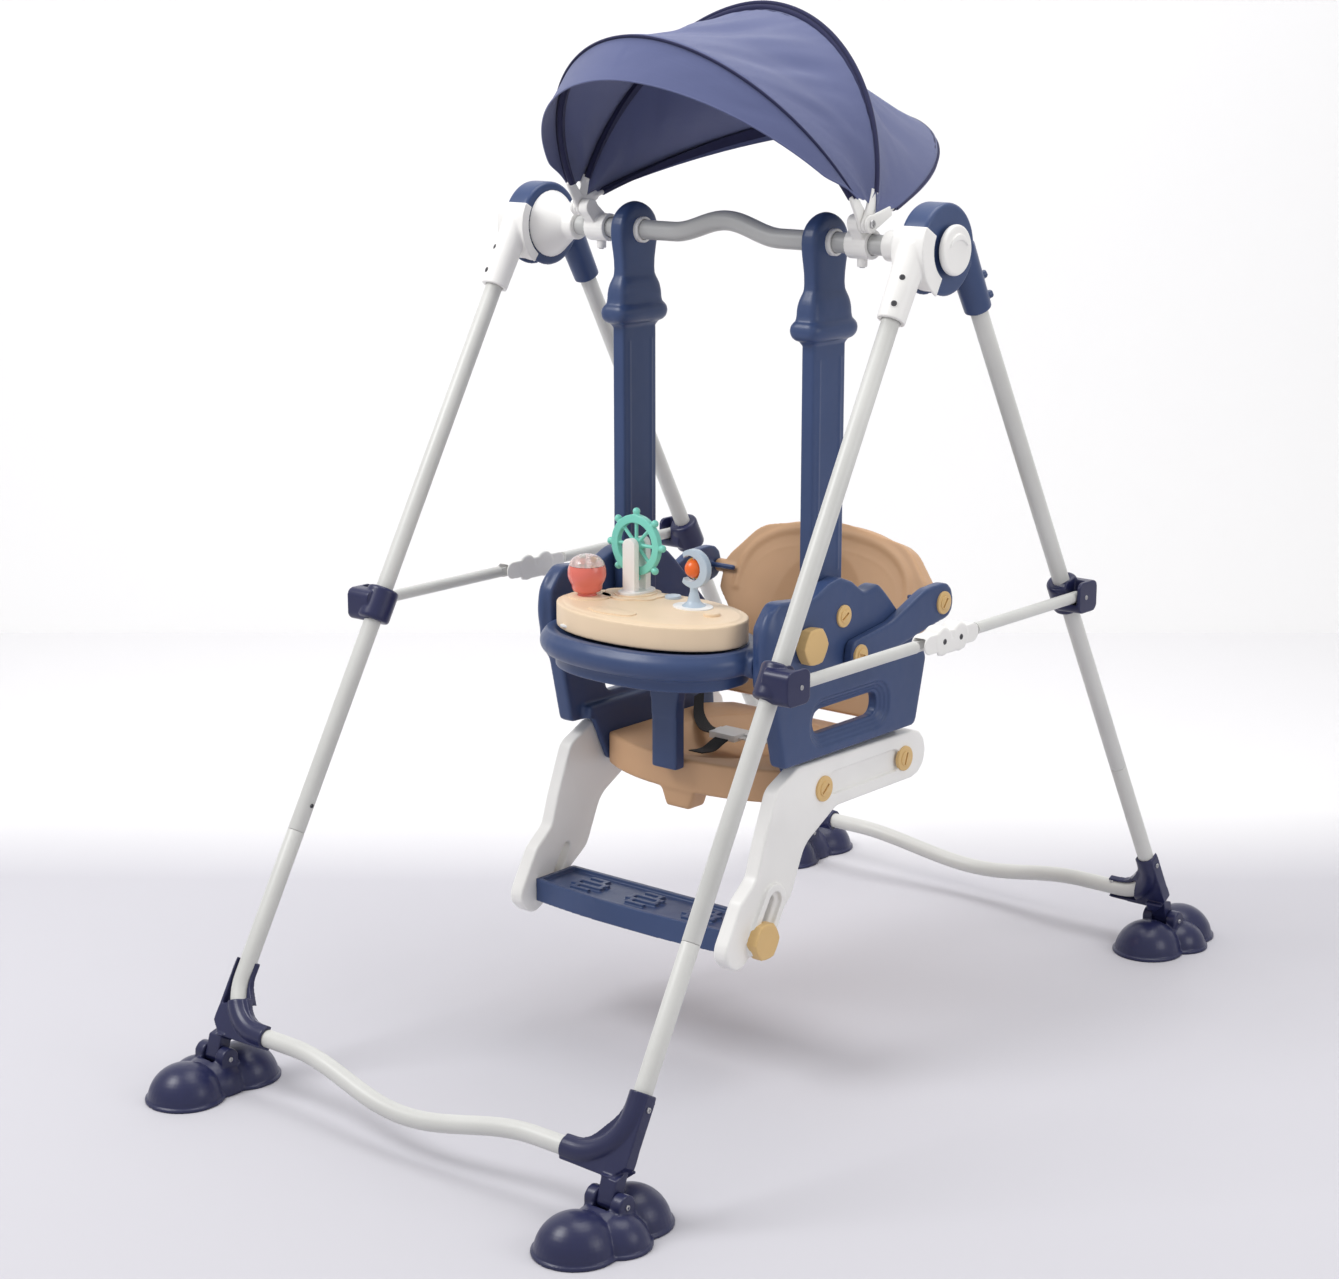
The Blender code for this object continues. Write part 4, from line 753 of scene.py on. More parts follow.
def front_hub(side):
    """White housing: a sock over the hub's front, the leg's socket, the core, and the cone round the bar."""
    low, high, outside = RIM_IN_X - COVER_IN, RIM_OUT_X + COVER_OUT, DRUM_R + 0.0055
    housing, bore = socket(-1, -0.004)
    cut(housing, drum(DRUM_R + 0.0012, 0.25, 0.36))
    wall = sector(150, 226, DRUM_R + 0.0014, DRUM_R + 0.0060, low, high)
    outer = sector(150, 240, 0.0365, outside, RIM_OUT_X + 0.0012, high)
    inner = sector(150, 232, 0.0475, outside, low, RIM_IN_X - 0.0010)
    cone = rod((RIM_IN_X - 0.0004, 0, HUB_Z), (RIM_IN_X - 0.034, 0, HUB_Z), 0.044, 64, 0.0195)
    collar = drum(0.0185, RIM_IN_X - 0.050, RIM_IN_X - 0.030, 48)
    core, stem = drum(CORE_R, CORE_IN_X, CORE_OUT_X), drum(0.019, RIM_IN_X - 0.004, CORE_IN_X + 0.002)
    made = joined(housing, wall, outer, inner, core, cone, collar, stem)
    cut(made, bore)
    return turned_over(skinned(made, 0.0012, 5), side)


def rear_hub(side):
    """Blue hub: two rims and the crown over the core, with the rear leg's socket and its two bosses."""
    low, high, room = CORE_IN_X - SEAM, CORE_OUT_X + SEAM, CORE_R + 0.0008
    made = eased(drum(DRUM_R, RIM_IN_X, RIM_OUT_X), 0.005, 4)
    cut(made, drum(room, low, high), sector(151, 282, 0.02, 0.09, low, high))
    housing, bore = socket(1, 0.0)
    for share in (0.044, 0.070):
        spot = leg_point(1, 1, share)
        joined(housing, rod(spot, spot + Vector((0.010, 0.0200, 0.0075)), 0.0052, 32))
    cut(housing, drum(room, CORE_IN_X - 0.03, CORE_OUT_X + 0.03))
    joined(made, housing)
    cut(made, bore, drum(0.0198, RIM_IN_X - 0.01, CORE_IN_X + 0.001, 64))
    return turned_over(skinned(made, 0.0012, 5), side)


def hub_button(side):
    """Release button with a domed face and a raised crescent for the thumb."""
    start = CORE_OUT_X + RIM_T + COVER_OUT
    face = eased(drum(0.030, start, start + 0.0085), 0.0035, 4)
    moon = arc(0.019, 25, 155, 16) + arc(0.024, 140, 40, 16, (0.0, HUB_Z - 0.012))
    crescent = plate(moon, start + 0.0075, start + 0.0112)
    made = merged(face, crescent, drum(0.0055, CORE_OUT_X - 0.001, start + 0.002, 32))
    return turned_over(skinned(made, 0.0009, 4), side)


for side_name, side in SIDES:
    dress(front_hub(side), "front_hub_" + side_name, "front_frame", "white")
    dress(rear_hub(side), "rear_hub_" + side_name, "rear_frame", "seat_blue")
    dress(hub_button(side), "hub_button_" + side_name, side_name + "_button", "white")
    along, aside = leg_way(side, -1), Vector((side * 0.45, -1, 0))
    out = (aside - along * aside.dot(along)).normalized()
    for number, share in enumerate((0.036, 0.066)):
        spot = leg_point(side, -1, share) + out * (SOCKET_R + 0.0001)
        screw(spot, out, 0.0036, "hub_screw_%s_%d" % (side_name, number), "front_frame", "dark_steel", 0.0006)
    spot = (side * 0.279, -0.0165, HUB_Z + 0.024)
    screw(spot, (-side * 0.55, -0.5, 0.75), 0.0030, "cone_screw_" + side_name, "front_frame", "steel", 0.0006)


# Feet and corner brackets

def foot(side, end):
    """Foot shell of two big domes, a waist and an outer lobe over a thin lip, with the bracket's knuckle."""
    shells = []
    step = FOOT_DOME_STEP - 0.001
    for dx, dy, size in ((0.0, step, 1.0), (0.0, -step, 1.0), (0.023, 0.004, 0.80)):
        x, y, radius = FOOT_X + dx, end * (FOOT_Y + dy), FOOT_DOME_R * size
        shells.append(ball((x, y, 0.0), (radius, radius, FOOT_DOME_H * size)))
        shells.append(rod((x, y, 0.0), (x, y, 0.0042), radius + 0.0028, 64))
    shells.append(ball((FOOT_X + 0.003, end * FOOT_Y, 0.0), (0.043, 0.050, 0.041)))
    x, y, z = LEG_FOOT_X, end * FOOT_PIN_Y, FOOT_PIN_Z
    shells.append(rod((x - 0.026, y, z), (x + 0.026, y, z), 0.0135))
    shells.append(box((x - 0.0258, y - 0.0133, 0.012), (x + 0.0258, y + 0.0133, z)))
    made = joined(*shells)
    cut(made, box((-1, -1, -0.2), (1, 1, 0)),
        box((x - 0.0114, y - 0.0175, z - 0.0125), (x + 0.0114, y + 0.0175, 0.2)))
    return turned_over(skinned(made, 0.0013, 5), side)


def corner_bracket(side, end, node):
    """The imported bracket, thinned to sleeves round the tube and a web, and open along the bend's inside."""
    made = turned_over(cast(node), side)
    corner, down = leg_point(1, end, 1), leg_way(1, end)
    run = [corner - down * 0.2, *corner_bend(end), corner - Vector((0.2, 0, 0))]
    lean = Matrix.Rotation(end * math.atan2(CORNER_Y - LEG_OFFSET, HUB_Z - CORNER_Z), 4, "X")
    web = plate([(0.15, -0.05), (0.40, -0.05), (0.40, 0.25), (0.15, 0.25)], -0.0085, 0.0085, axis="y")
    web.data.transform(Matrix.Translation((0, end * CORNER_Y, CORNER_Z)) @ lean)
    low, high = sorted((end * 0.57, end * 0.64))
    neck = box((LEG_FOOT_X - 0.0125, low, 0.018), (LEG_FOOT_X + 0.0125, high, 0.069))
    hole = Vector((LEG_FOOT_X, end * FOOT_PIN_Y, FOOT_PIN_Z))
    pin = rod(hole, hole + Vector((0.03, 0, 0)), 0.006)
    cut(made, joined(tube(run, LEG_R + 0.0040, 10), web, neck, pin), operation="INTERSECT")
    shift, rail_end = Vector((-0.0085, 0, 0.0085)), Vector((LEG_FOOT_X - 0.052, *run[-1][1:]))
    open_side = [point + shift for point in (run[0], *corner_bend(end), rail_end)]
    cut(made, tube(open_side, LEG_R + 0.0008, 10))
    return turned_over(skinned(made, 0.0011, 3), side)


for end_name, end in ENDS:
    body = end_name + "_frame"
    for side_name, side in SIDES:
        where = "%s_%s" % (end_name, side_name)
        dress(foot(side, end), "foot_" + where, where + "_foot", "frame_navy")
        for face_name, face in FACES:
            spot = (side * LEG_FOOT_X + face * 0.0262, end * FOOT_PIN_Y, FOOT_PIN_Z)
            screw(spot, (face, 0, 0), 0.0032, "foot_rivet_%s_%s" % (where, face_name), where + "_foot")
        bracket = "corner_bracket_" + where
        dress(corner_bracket(side, end, bracket), bracket, body, "frame_navy")
        down = leg_way(side, end)
        spot = leg_point(side, end, 1) - down * 0.066 + Vector((side * (LEG_R + 0.0038), 0, 0))
        screw(spot, (side, 0, 0), 0.0034, "bracket_rivet_" + where, body)
        spot = Vector((side * (LEG_FOOT_X - 0.072), end * CORNER_Y, CORNER_Z)) - down * (LEG_R + 0.0005)
        screw(spot, -down, 0.0030, "rail_rivet_" + where, body)


# Side braces

BRACE_Z = leg_point(1, -1, BRACE_SHARE).z


def brace_tube(side, end):
    """Tube from its pivot in the clamp to the flat tongue that runs into the coupler."""
    pivot = Vector((BRACE_X, end * BRACE_PIVOT_Y, BRACE_Z))
    run = rod(pivot, (BRACE_X, end * 0.064, BRACE_Z), BRACE_R)
    middle = BRACE_X + end * 0.003
    low, high = sorted((end * RIVET_Y, end * 0.074))
    tongue = box((middle - 0.0015, low, BRACE_Z - 0.005), (middle + 0.0015, high, BRACE_Z + 0.005))
    return turned_over(joined(run, ball(pivot, (BRACE_R,) * 3), tongue), side)


def brace_clamp(side, end):
    """Barrel round the leg and a rounded block outboard of it, with the pocket in which the brace swings."""
    middle, along = leg_point(1, end, BRACE_SHARE), leg_way(1, end)
    made = eased(rod(middle - along * 0.0215, middle + along * 0.0215, 0.0205, 64), 0.004, 3)
    block = framed(middle.y - 0.0215, middle.y + 0.0215, middle.z - 0.0205, middle.z + 0.0205, 0.010)
    joined(made, eased(plate(block, middle.x - 0.002, 0.3532), 0.0035, 3))
    radius = BRACE_R + 0.0008
    low, high = sorted((end * (BRACE_PIVOT_Y + radius), end * 0.1))
    cut(made, box((BRACE_X - radius, low, middle.z - radius), (BRACE_X + radius, high, middle.z + 0.2)))
    return turned_over(skinned(made, 0.0011, 7), side)


def brace_coupler(side):
    """White knuckle over the two tongues: two round lobes and a short sleeve at each end, open below."""
    low, high = BRACE_X - 0.0115, BRACE_X + 0.0115
    sleeves = capsule((-0.046, BRACE_Z), (0.046, BRACE_Z), 0.0115)
    made = eased(plate(sleeves, low + 0.001, high - 0.001), 0.003, 3)
    for y in (-RIVET_Y - 0.001, RIVET_Y + 0.001):
        joined(made, eased(rod((low, y, BRACE_Z), (high, y, BRACE_Z), 0.0178, 48), 0.0035, 3))
    joined(made, eased(box((low, -0.030, BRACE_Z - 0.0168), (high, 0.030, BRACE_Z + 0.004)), 0.004, 3))
    inner = BRACE_R + 0.0005
    cut(made, box((BRACE_X - inner, -0.1, BRACE_Z - 0.1), (BRACE_X + inner, 0.1, BRACE_Z + BRACE_R + 0.001)))
    return turned_over(skinned(made, 0.0009, 5), side)


for side_name, side in SIDES:
    coupler = side_name + "_coupler"
    for end_name, end in ENDS:
        where = "%s_%s" % (end_name, side_name)
        body = end_name + "_frame"
        brace = "%s_%s_brace" % (side_name, end_name)
        dress(brace_clamp(side, end), "brace_clamp_" + where, body, "frame_navy")
        dress(brace_tube(side, end), "brace_tube_" + where, brace, "leg_grey", 30)
        spot = (side * 0.3533, end * (BRACE_PIVOT_Y + 0.004), BRACE_Z)
        screw(spot, (side, 0, 0), 0.0030, "clamp_rivet_" + where, body, "steel", 0.0008)
        spot = (side * 0.3516, end * 0.0175, BRACE_Z)
        screw(spot, (side, 0, 0), 0.0036, "coupler_screw_" + where, coupler, "dark_steel", 0.0006)
    dress(brace_coupler(side), "brace_coupler_" + side_name, coupler, "white")


# Canopy: cloth, sleeves, piping, clips and bows

def arch_point(reach, degrees, share, out=0.0, up=0.0):
    """A point of an arch that stands on the canopy's axis, leant back by an angle."""
    angle, power = math.pi * share, 2 / CANOPY_POWER
    x = (CANOPY_HALF + out) * signed_power(math.cos(angle), power)
    rise = (reach + up) * abs(math.sin(angle)) ** power
    lean = math.radians(degrees)
    return Vector((-x, CANOPY_Y + rise * math.sin(lean), CANOPY_Z + rise * math.cos(lean)))


def smooth(value):
    value = min(1.0, max(0.0, value))
    return value * value * (3 - 2 * value)


def cloth_share(step):
    """Place along an arch, from just above one end of the bow to just above the other."""
    return CLOTH_END + (1 - 2 * CLOTH_END) * step / CLOTH_STEPS


def loose_end(share):
    """How far a loose edge keeps to its own line: all of the way, but for its two rounded ends."""
    return smooth((min(share, 1 - share) - CLOTH_END) / 0.075) ** 0.7


def cloth_point(first, second, loose, share, v, index, slack, crease):
    """A point between two arches of the sheet, with its slack, folds and the puckers along the seams."""
    degrees, reach, out, up = first
    if loose:
        degrees = second[0] + (degrees - second[0]) * loose_end(share)
    point = arch_point(reach, degrees, share, out, up).lerp(
        arch_point(second[1], second[0], share, second[2], second[3]), v)
    away = (point - Vector((point.x, CANOPY_Y, CANOPY_Z))).normalized()
    slant = share * 13 - math.copysign(1, share - 0.5) * v * 1.8
    swell = math.sin(math.pi * v)
    soft = noise.noise(Vector((slant, v * 0.9 + index * 3, 7.7)))
    fine = noise.noise(Vector((slant * 2.4, v * 2.6, 2.2 + index)))
    pucker = math.sin(share * 230 + 3 * soft) * max(0.0, 1 - min(v, 1 - v) / 0.10) * swell
    return point + away * (crease * (swell * (1.3 * soft + 0.5 * fine) + 0.8 * pucker) - slack * swell)


def cloth(name, stations, spans, folds, loose=False):
    """A sheet over the bows, with UVs in metres, its flat size and its area.

    Stations are (degrees, reach, out, up) of the arches that it runs over; spans the rows of faces
    between each two; folds the slack and the depth of the creases between them.
    """
    rows = []
    for index, (span, (slack, crease)) in enumerate(zip(spans, folds)):
        arches = stations[index:index + 2]
        last = index == len(spans) - 1
        for row in range(span + (1 if last else 0)):
            rows.append([cloth_point(*arches, loose and index == 0, cloth_share(step), row / span,
                                     index, slack, crease) for step in range(CLOTH_STEPS + 1)])
    heights = run_lengths([row[CLOTH_STEPS // 2] for row in rows])
    along = run_lengths(rows[-1])
    made = faced_out(woven_grid(rows, lambda row, step: (along[step], heights[row])))
    area = sum(face.area for face in made.data.polygons)
    thickened(made, 0.0009)
    made.name = name
    made.data.name = name
    made.data.materials.append(FINISHES["canopy_fabric"].material)
    made.data.shade_smooth()
    made.data.set_sharp_from_angle(angle=math.radians(60))
    return made, (along[-1] * SEAM_SHARE, heights[-1] * SEAM_SHARE), area


def bow_top(which):
    degrees, reach, out, up = COVER[which]
    return arch_point(reach, degrees, 0.5, out, up)


def arch_line(which, out, up, shift=0.0):
    degrees, reach = BOW_REACH[which]
    shares = (CLOTH_END + (1 - 2 * CLOTH_END) * step / 96 for step in range(97))
    return [arch_point(reach, degrees + shift, share, out, up) for share in shares]


def piped(line, radius, sides=14):
    """A round woven edge or sleeve along a line."""
    along = run_lengths(line)
    pitch = 2 * math.pi / sides
    rings = []
    for index, point in enumerate(line):
        way = (line[min(len(line) - 1, index + 1)] - line[max(0, index - 1)]).normalized()
        side = way.cross(Vector((0, 1, 0.01))).normalized()
        other = way.cross(side)
        rings.append([point + radius * (side * math.cos(pitch * turn) + other * math.sin(pitch * turn))
                      for turn in range(sides)])
    return faced_out(woven_grid(rings, lambda ring, turn: (along[ring], radius * pitch * turn), True))


COVER = {which: (*BOW_REACH[which], BOW_SHIFT[which] + CLOTH_OUT, CLOTH_UP) for which in BOW_REACH}
MIDDLE_BEFORE, MIDDLE_AFTER = ((degrees, 0.2560, CLOTH_OUT, 0.0050) for degrees in (18.4, 19.4))
VISOR = (VISOR_DEG, VISOR_REACH, 0.004, 0.004)
REAR_HEM = (74.5, 0.349, 0.0095, 0.004)

front_cloth, flat, area = cloth("canopy_front_cloth", (VISOR, COVER["front"], MIDDLE_BEFORE), (14, 36),
                                ((0.0, 0.0011), (0.0075, 0.0075)), loose=True)
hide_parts("canopy_front")
bow_top("middle")
bow_top("front")
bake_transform(front_cloth)
rear_cloth, flat, area = cloth("canopy_rear_cloth", (MIDDLE_AFTER, COVER["rear"], REAR_HEM), (36, 4),
                               ((0.0240, 0.0080), (0.0, 0.0)))
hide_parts("canopy_rear")
bow_top("middle")
bow_top("rear")
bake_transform(rear_cloth)

BOW_TRIM = (("front", "front_bow", 1.1, -0.9, 0.0018), ("middle", "canopy", 1.7, 0.0, 0.0030),
            ("rear", "rear_bow", 1.6, 1.4, 0.0018))
for which, body, half, lift, radius in BOW_TRIM:
    shift = BOW_SHIFT[which]
    # Sleeves and inside bands wear the dark piping cloth: painted shade on sleeves of the canopy's own cloth;
    # only the piping is really dark.
    shown(piped(arch_line(which, shift, 0.0), 0.0046), which + "_sleeve", body, "piping")
    lines = [arch_line(which, shift - 0.0050, -0.0052, turn) for turn in (-half, 0.0, half)]
    band = thickened(woven_grid(lines, lambda row, step: (0.008 * step, 0.008 * row)), 0.0012)
    shown(band, which + "_band_inside", body, "piping", sharp=60)
    shown(piped(arch_line(which, shift + 0.0064, 0.0062, lift), radius), which + "_piping", body, "piping")
front_deg = BOW_REACH["front"][0]
visor_edge = []
for step in range(CLOTH_STEPS + 1):
    share = cloth_share(step)
    degrees = VISOR_DEG + (front_deg - VISOR_DEG) * (1 - loose_end(share))
    visor_edge.append(arch_point(VISOR_REACH, degrees, share, 0.0045, 0.0042))
shown(piped(visor_edge, 0.0011, 10), "visor_hem", "front_bow", "canopy_fabric")

for side_name, side in SIDES:
    recast("canopy_bracket_" + side_name, "canopy", "white", 0.0010, 3)
    x = side * CLIP_X
    lug = eased(rod((x, 0.0, HUB_Z - 0.016), (x, 0.0, HUB_Z - 0.027), 0.0062, 32), 0.001, 2)
    shown(lug, "clip_lug_" + side_name, "canopy", "white")
    screw((x, 0.0, HUB_Z - 0.0272), (0, 0, -1), 0.0036, "clip_screw_" + side_name, "canopy")
    pin = (side * (CANOPY_HALF + 0.0078), CANOPY_Y, CANOPY_Z)
    screw(pin, (side, 0, 0), 0.0052, "canopy_pin_" + side_name, "canopy", "steel", 0.0016)
for which, body, *_ in BOW_TRIM:
    recast("bow_" + which, body, "white", 0.0011, 3)


# Hanging arms, side panels and leg parts

def hanger(side):
    """Blow-moulded arm: a domed eye over the bar, a neck, a bell, a fat roll, and a blade to the seat."""
    sides = 64
    sections = [HANGER_SECTIONS[0]]
    for before, after in zip(HANGER_SECTIONS, HANGER_SECTIONS[1:]):
        steps = 3 if after[0] > 0.9 else 1
        for step in range(1, steps + 1):
            sections.append(tuple(a + (b - a) * step / steps for a, b in zip(before, after)))
    rings = []
    for z, half_y, half_x, power in sections:
        ring = []
        for turn in range(sides):
            angle = 2 * math.pi * (turn + 0.5) / sides
            ring.append((HANGER_X + half_x * signed_power(math.cos(angle), 2 / power),
                         half_y * signed_power(math.sin(angle), 2 / power), z))
        rings.append(ring)
    made = lofted(rings)
    for face in (-1, 1):
        x = HANGER_X + face * 0.0098
        for y in (-0.0215, 0.0215):
            joined(made, box((x - 0.0011, y - 0.0013, 0.62), (x + 0.0011, y + 0.0013, 0.885)))
    cut(made, rod((0.1, 0, HUB_Z), (0.2, 0, HUB_Z), BAR_R + SEAM))
    return turned_over(skinned(made, 0.0014, 3, 0.3), side)


for side_name, side in SIDES:
    dress(hanger(side), "hanger_" + side_name, "seat", "seat_blue")
    for face_name, face in FACES:
        x = HANGER_X + face * 0.0095
        ring = rod((side * x, 0, HUB_Z), (side * (x + face * 0.0088), 0, HUB_Z), 0.0164)
        cut(ring, rod((side * 0.13, 0, HUB_Z), (side * 0.18, 0, HUB_Z), BAR_R + 0.0005))
        shown(eased(ring, 0.0008, 2), "bushing_%s_%s" % (side_name, face_name), "seat", "white", sharp=40)


def side_panel(side, node):
    """Soft blow-moulded side with a dished frame round its slot and a fuller front block."""
    made = turned_over(cast(node), side)
    merged(made, ball((PANEL_OUT_X - 0.008, -0.131, 0.548), (0.0145, 0.027, 0.050)))
    skinned(made, 0.0018, 22)
    for grow, depth in ((0.016, 0.0030), (0.0105, 0.0058), (0.0055, 0.0086)):
        dish = framed(-0.047 - grow, 0.090 + grow, 0.421 - grow, 0.452 + grow, 0.012 + grow)
        cut(made, plate(dish, PANEL_OUT_X - depth, PANEL_OUT_X + 0.02))
    return turned_over(skinned(made, 0.0015, 4), side)


def leg_part(side, node):
    """White cranked part: a shallow channel between its two big screws, and a raised lip round the slot."""
    made = skinned(turned_over(cast(node), side), 0.0016, 12)
    channel = capsule((-0.002, 0.3500), (0.128, 0.3500), 0.0150)
    cut(made, plate(channel, LEG_PART_OUT_X - 0.0055, LEG_PART_OUT_X + 0.02))
    rise = Vector((0.525, 0.851)).normalized()
    low = Vector((FOOTREST_Y, FOOTREST_Z))
    ends = (low - rise * 0.001, low + rise * 0.051)
    lip = plate(capsule(*ends, 0.0222), LEG_PART_OUT_X - 0.004, LEG_PART_OUT_X + 0.0062,
                holes=(capsule(*ends, 0.0125),))
    return turned_over(skinned(merged(made, lip), 0.0012, 4), side)


COIN_SCREWS = ((PANEL_OUT_X, 0.002, 0.566, 0.0142, 30), (LINK_OUT_X, 0.019, 0.515, 0.0138, -20),
               (LINK_OUT_X, 0.202, 0.551, 0.0150, 50), (LEG_PART_OUT_X, -0.026, 0.348, 0.0165, 40),
               (LEG_PART_OUT_X, 0.150, 0.349, 0.0165, 70))
for side_name, side in SIDES:
    panel, part = "side_panel_" + side_name, "leg_extension_" + side_name
    dress(side_panel(side, panel), panel, "seat", "seat_blue")
    recast("back_link_" + side_name, "seat", "seat_blue", 0.0015, 16)
    dress(leg_part(side, part), part, "seat", "white")
    for number, (x, *rest) in enumerate(COIN_SCREWS):
        coin_screw(side, x - SEAM, *rest, "coin_screw_%s_%d" % (side_name, number), "seat")
    for knob in ("tray_knob", "footrest_knob"):
        recast("%s_%s" % (knob, side_name), "%s_%s" % (side_name, knob), "knob_yellow", 0.0010, 5)


# Seat pan, backrest and footrest

def seat_pan():
    """Dished pan with a bowed front edge and a boss under it."""
    half = 0.1486
    plan = []
    for step in range(41):
        x = half * (1 - step / 20)
        plan.append((x, -0.099 + 0.040 * (abs(x) / half) ** 2.4))
    plan += [(-half, 0.140), (-half + 0.03, 0.170), (half - 0.03, 0.170), (half, 0.140)]
    made = plate(plan, PAN_BOTTOM_Z, PAN_TOP_Z, axis="z")
    cut(made, ball((0, 0.035, PAN_TOP_Z + 0.040), (0.128, 0.150, 0.062), 48, 64))
    section = ((-0.026, -0.006), (-0.019, -0.024), (0.019, -0.024), (0.026, -0.006), (0.030, 0.008),
               (-0.030, 0.008))
    boss = plate([(x, PAN_BOTTOM_Z + z) for x, z in section], -0.097, -0.064, axis="y")
    return skinned(merged(made, boss), 0.0018, 22)


def seat_back():
    """Curved backrest with a rolled top rim and side wings, leant back on the seat's rear edge."""
    right = [(0.1466, 0.0, 0.010), (0.1466, 0.112, 0.012), (BACK_WING_X, 0.138, 0.014),
             (BACK_WING_X, 0.180, 0.034), (0.122, 0.233, 0.056)]
    left = [(-x, z, radius) for x, z, radius in reversed(right)]
    outline = rounded([left[-1], *right, (0.0, 0.254, 0.200), *left[:-1]])
    made = plate(outline, 0.0, 0.026, axis="y")
    cut(made, ball((0, -0.055, 0.11), (0.132, 0.068, 0.172), 48, 64))
    for drop, lift, y in ((0.0, 0.0125, 0.010), (0.0235, 0.0050, 0.0045)):
        roll = []
        for step in range(41):
            angle = math.pi * step / 40
            x = -(0.142 - 0.8 * drop) * signed_power(math.cos(angle), 0.8)
            roll.append(Vector((x, y, 0.140 + (0.098 - drop) * math.sin(angle) ** 0.7)))
        merged(made, tube(roll, lift, 8))
    lean = Matrix.Rotation(-math.radians(BACK_LEAN_DEG), 4, "X")
    made.data.transform(Matrix.Translation((0, 0.152, 0.392)) @ lean)
    for side in (-1, 1):
        merged(made, rod((side * 0.150, 0.217, 0.548), (side * 0.186, 0.217, 0.548), 0.0095))
    return skinned(made, 0.0018, 12)


def footrest():
    """Blue footrest: a bowed front, a raised lip round the tread, and broken raised bars for grip."""
    half, back, front = 0.159, FOOTREST_Y + 0.038, FOOTREST_Y - 0.038

    def plan(inset):
        points = [(-half + inset, back - inset), (half - inset, back - inset)]
        for step in range(33):
            x = (half - inset) * (1 - step / 16)
            points.append((x, front + inset - 0.010 * (1 - (abs(x) / half) ** 2.2) + 0.003))
        return list(reversed(points))

    top = FOOTREST_Z + 0.015
    made = plate(plan(0.0), FOOTREST_Z - 0.015, top, axis="z")
    cut(made, plate(plan(0.0065), top - 0.0045, top + 0.02, axis="z"))
    bars = []
    for x, y, half_x, half_y in FOOTREST_BARS:
        y += FOOTREST_Y - 0.003
        bars.append(box((x - half_x, y - half_y, top - 0.007), (x + half_x, y + half_y, top - 0.0008)))
    return skinned(merged(made, *bars), 0.0010, 5, 0.3)


GRIP_X = (-0.093, 0.0, 0.093)
FOOTREST_BARS = [(x, y, half, 0.0030) for x in GRIP_X
                 for y, half in ((-0.020, 0.015), (-0.007, 0.025), (0.007, 0.025), (0.020, 0.015))]
FOOTREST_BARS += [(x + offset, y, 0.0030, 0.007) for x in GRIP_X
                  for offset, y in ((-0.012, -0.0135), (0.012, 0.0135), (0.020, 0.0), (-0.020, 0.0))]

dress(seat_pan(), "seat_pan", "seat", "beige")
dress(seat_back(), "seat_back", "seat", "beige")
dress(footrest(), "footrest", "footrest", "seat_blue")


# Tray and its carrier

def oval(a, b, centre_y, power=2.1, wave=0.0, lobes=0, centre_x=0.0, steps=96):
    """A fuller or slimmer oval, with soft lobes round it where they are asked for."""
    points = []
    for step in range(steps):
        angle = 2 * math.pi * step / steps
        swell = 1 + wave * abs(math.sin(lobes * angle / 2)) if lobes else 1.0
        points.append((a * swell * signed_power(math.cos(angle), 2 / power) + centre_x,
                       centre_y + b * swell * signed_power(math.sin(angle), 2 / power)))
    return points


def tray_guard():
    """Blue carrier: a fat round lip about the tray, side lugs, and the crotch post with its flares."""
    made = plate(oval(0.1470, 0.0985, TRAY_Y, 2.3), 0.512, 0.5435, axis="z")
    cut(made, plate(oval(0.1385, 0.0855, TRAY_Y, 2.2), 0.5390, 0.60, axis="z"),
        ball((0, TRAY_Y, 0.498), (0.128, 0.080, 0.034), 32, 72))
    edge = [Vector((x, y, 0.5265)) for x, y in oval(0.1385, 0.0895, TRAY_Y, 2.3)]
    parts = [tube(edge, 0.0162, 10, closed=True)]
    lug = capsule((TRAY_PIVOT[0] - 0.062, 0.524), TRAY_PIVOT, 0.0175)
    for side in (-1, 1):
        parts.append(plate(lug, side * 0.1621, side * 0.1481))
    parts.append(box((-0.020, -0.124, 0.362), (0.020, -0.106, 0.535)))
    flare = [(0.0200, 0.430), (0.0215, 0.452), (0.0265, 0.472), (0.0370, 0.486), (0.0560, 0.494),
             (0.0900, 0.500)]
    outline = [*((-x, z) for x, z in flare), (-0.090, 0.520), (0.090, 0.520), *reversed(flare)]
    parts.append(plate(outline, -0.1245, -0.1055, axis="y"))
    apron, inside = oval(0.1350, 0.0860, TRAY_Y, 2.3), oval(0.1270, 0.0780, TRAY_Y, 2.3)
    parts.append(plate(apron, 0.4940, 0.5220, axis="z", holes=(inside,)))
    return skinned(merged(made, *parts), 0.0018, 12)


def play_tray():
    """Beige tray with a soft edge and a low raised top."""
    made = plate(oval(0.138, 0.083, TRAY_Y), 0.5446, TRAY_TOP_Z, axis="z")
    merged(made, plate(oval(0.1285, 0.0735, TRAY_Y), TRAY_TOP_Z - 0.004, TRAY_TOP_Z + 0.0014, axis="z"))
    return skinned(made, 0.0016, 7)


dress(tray_guard(), "tray_guard", "tray", "seat_blue")
dress(play_tray(), "play_tray", "tray", "tray_beige")

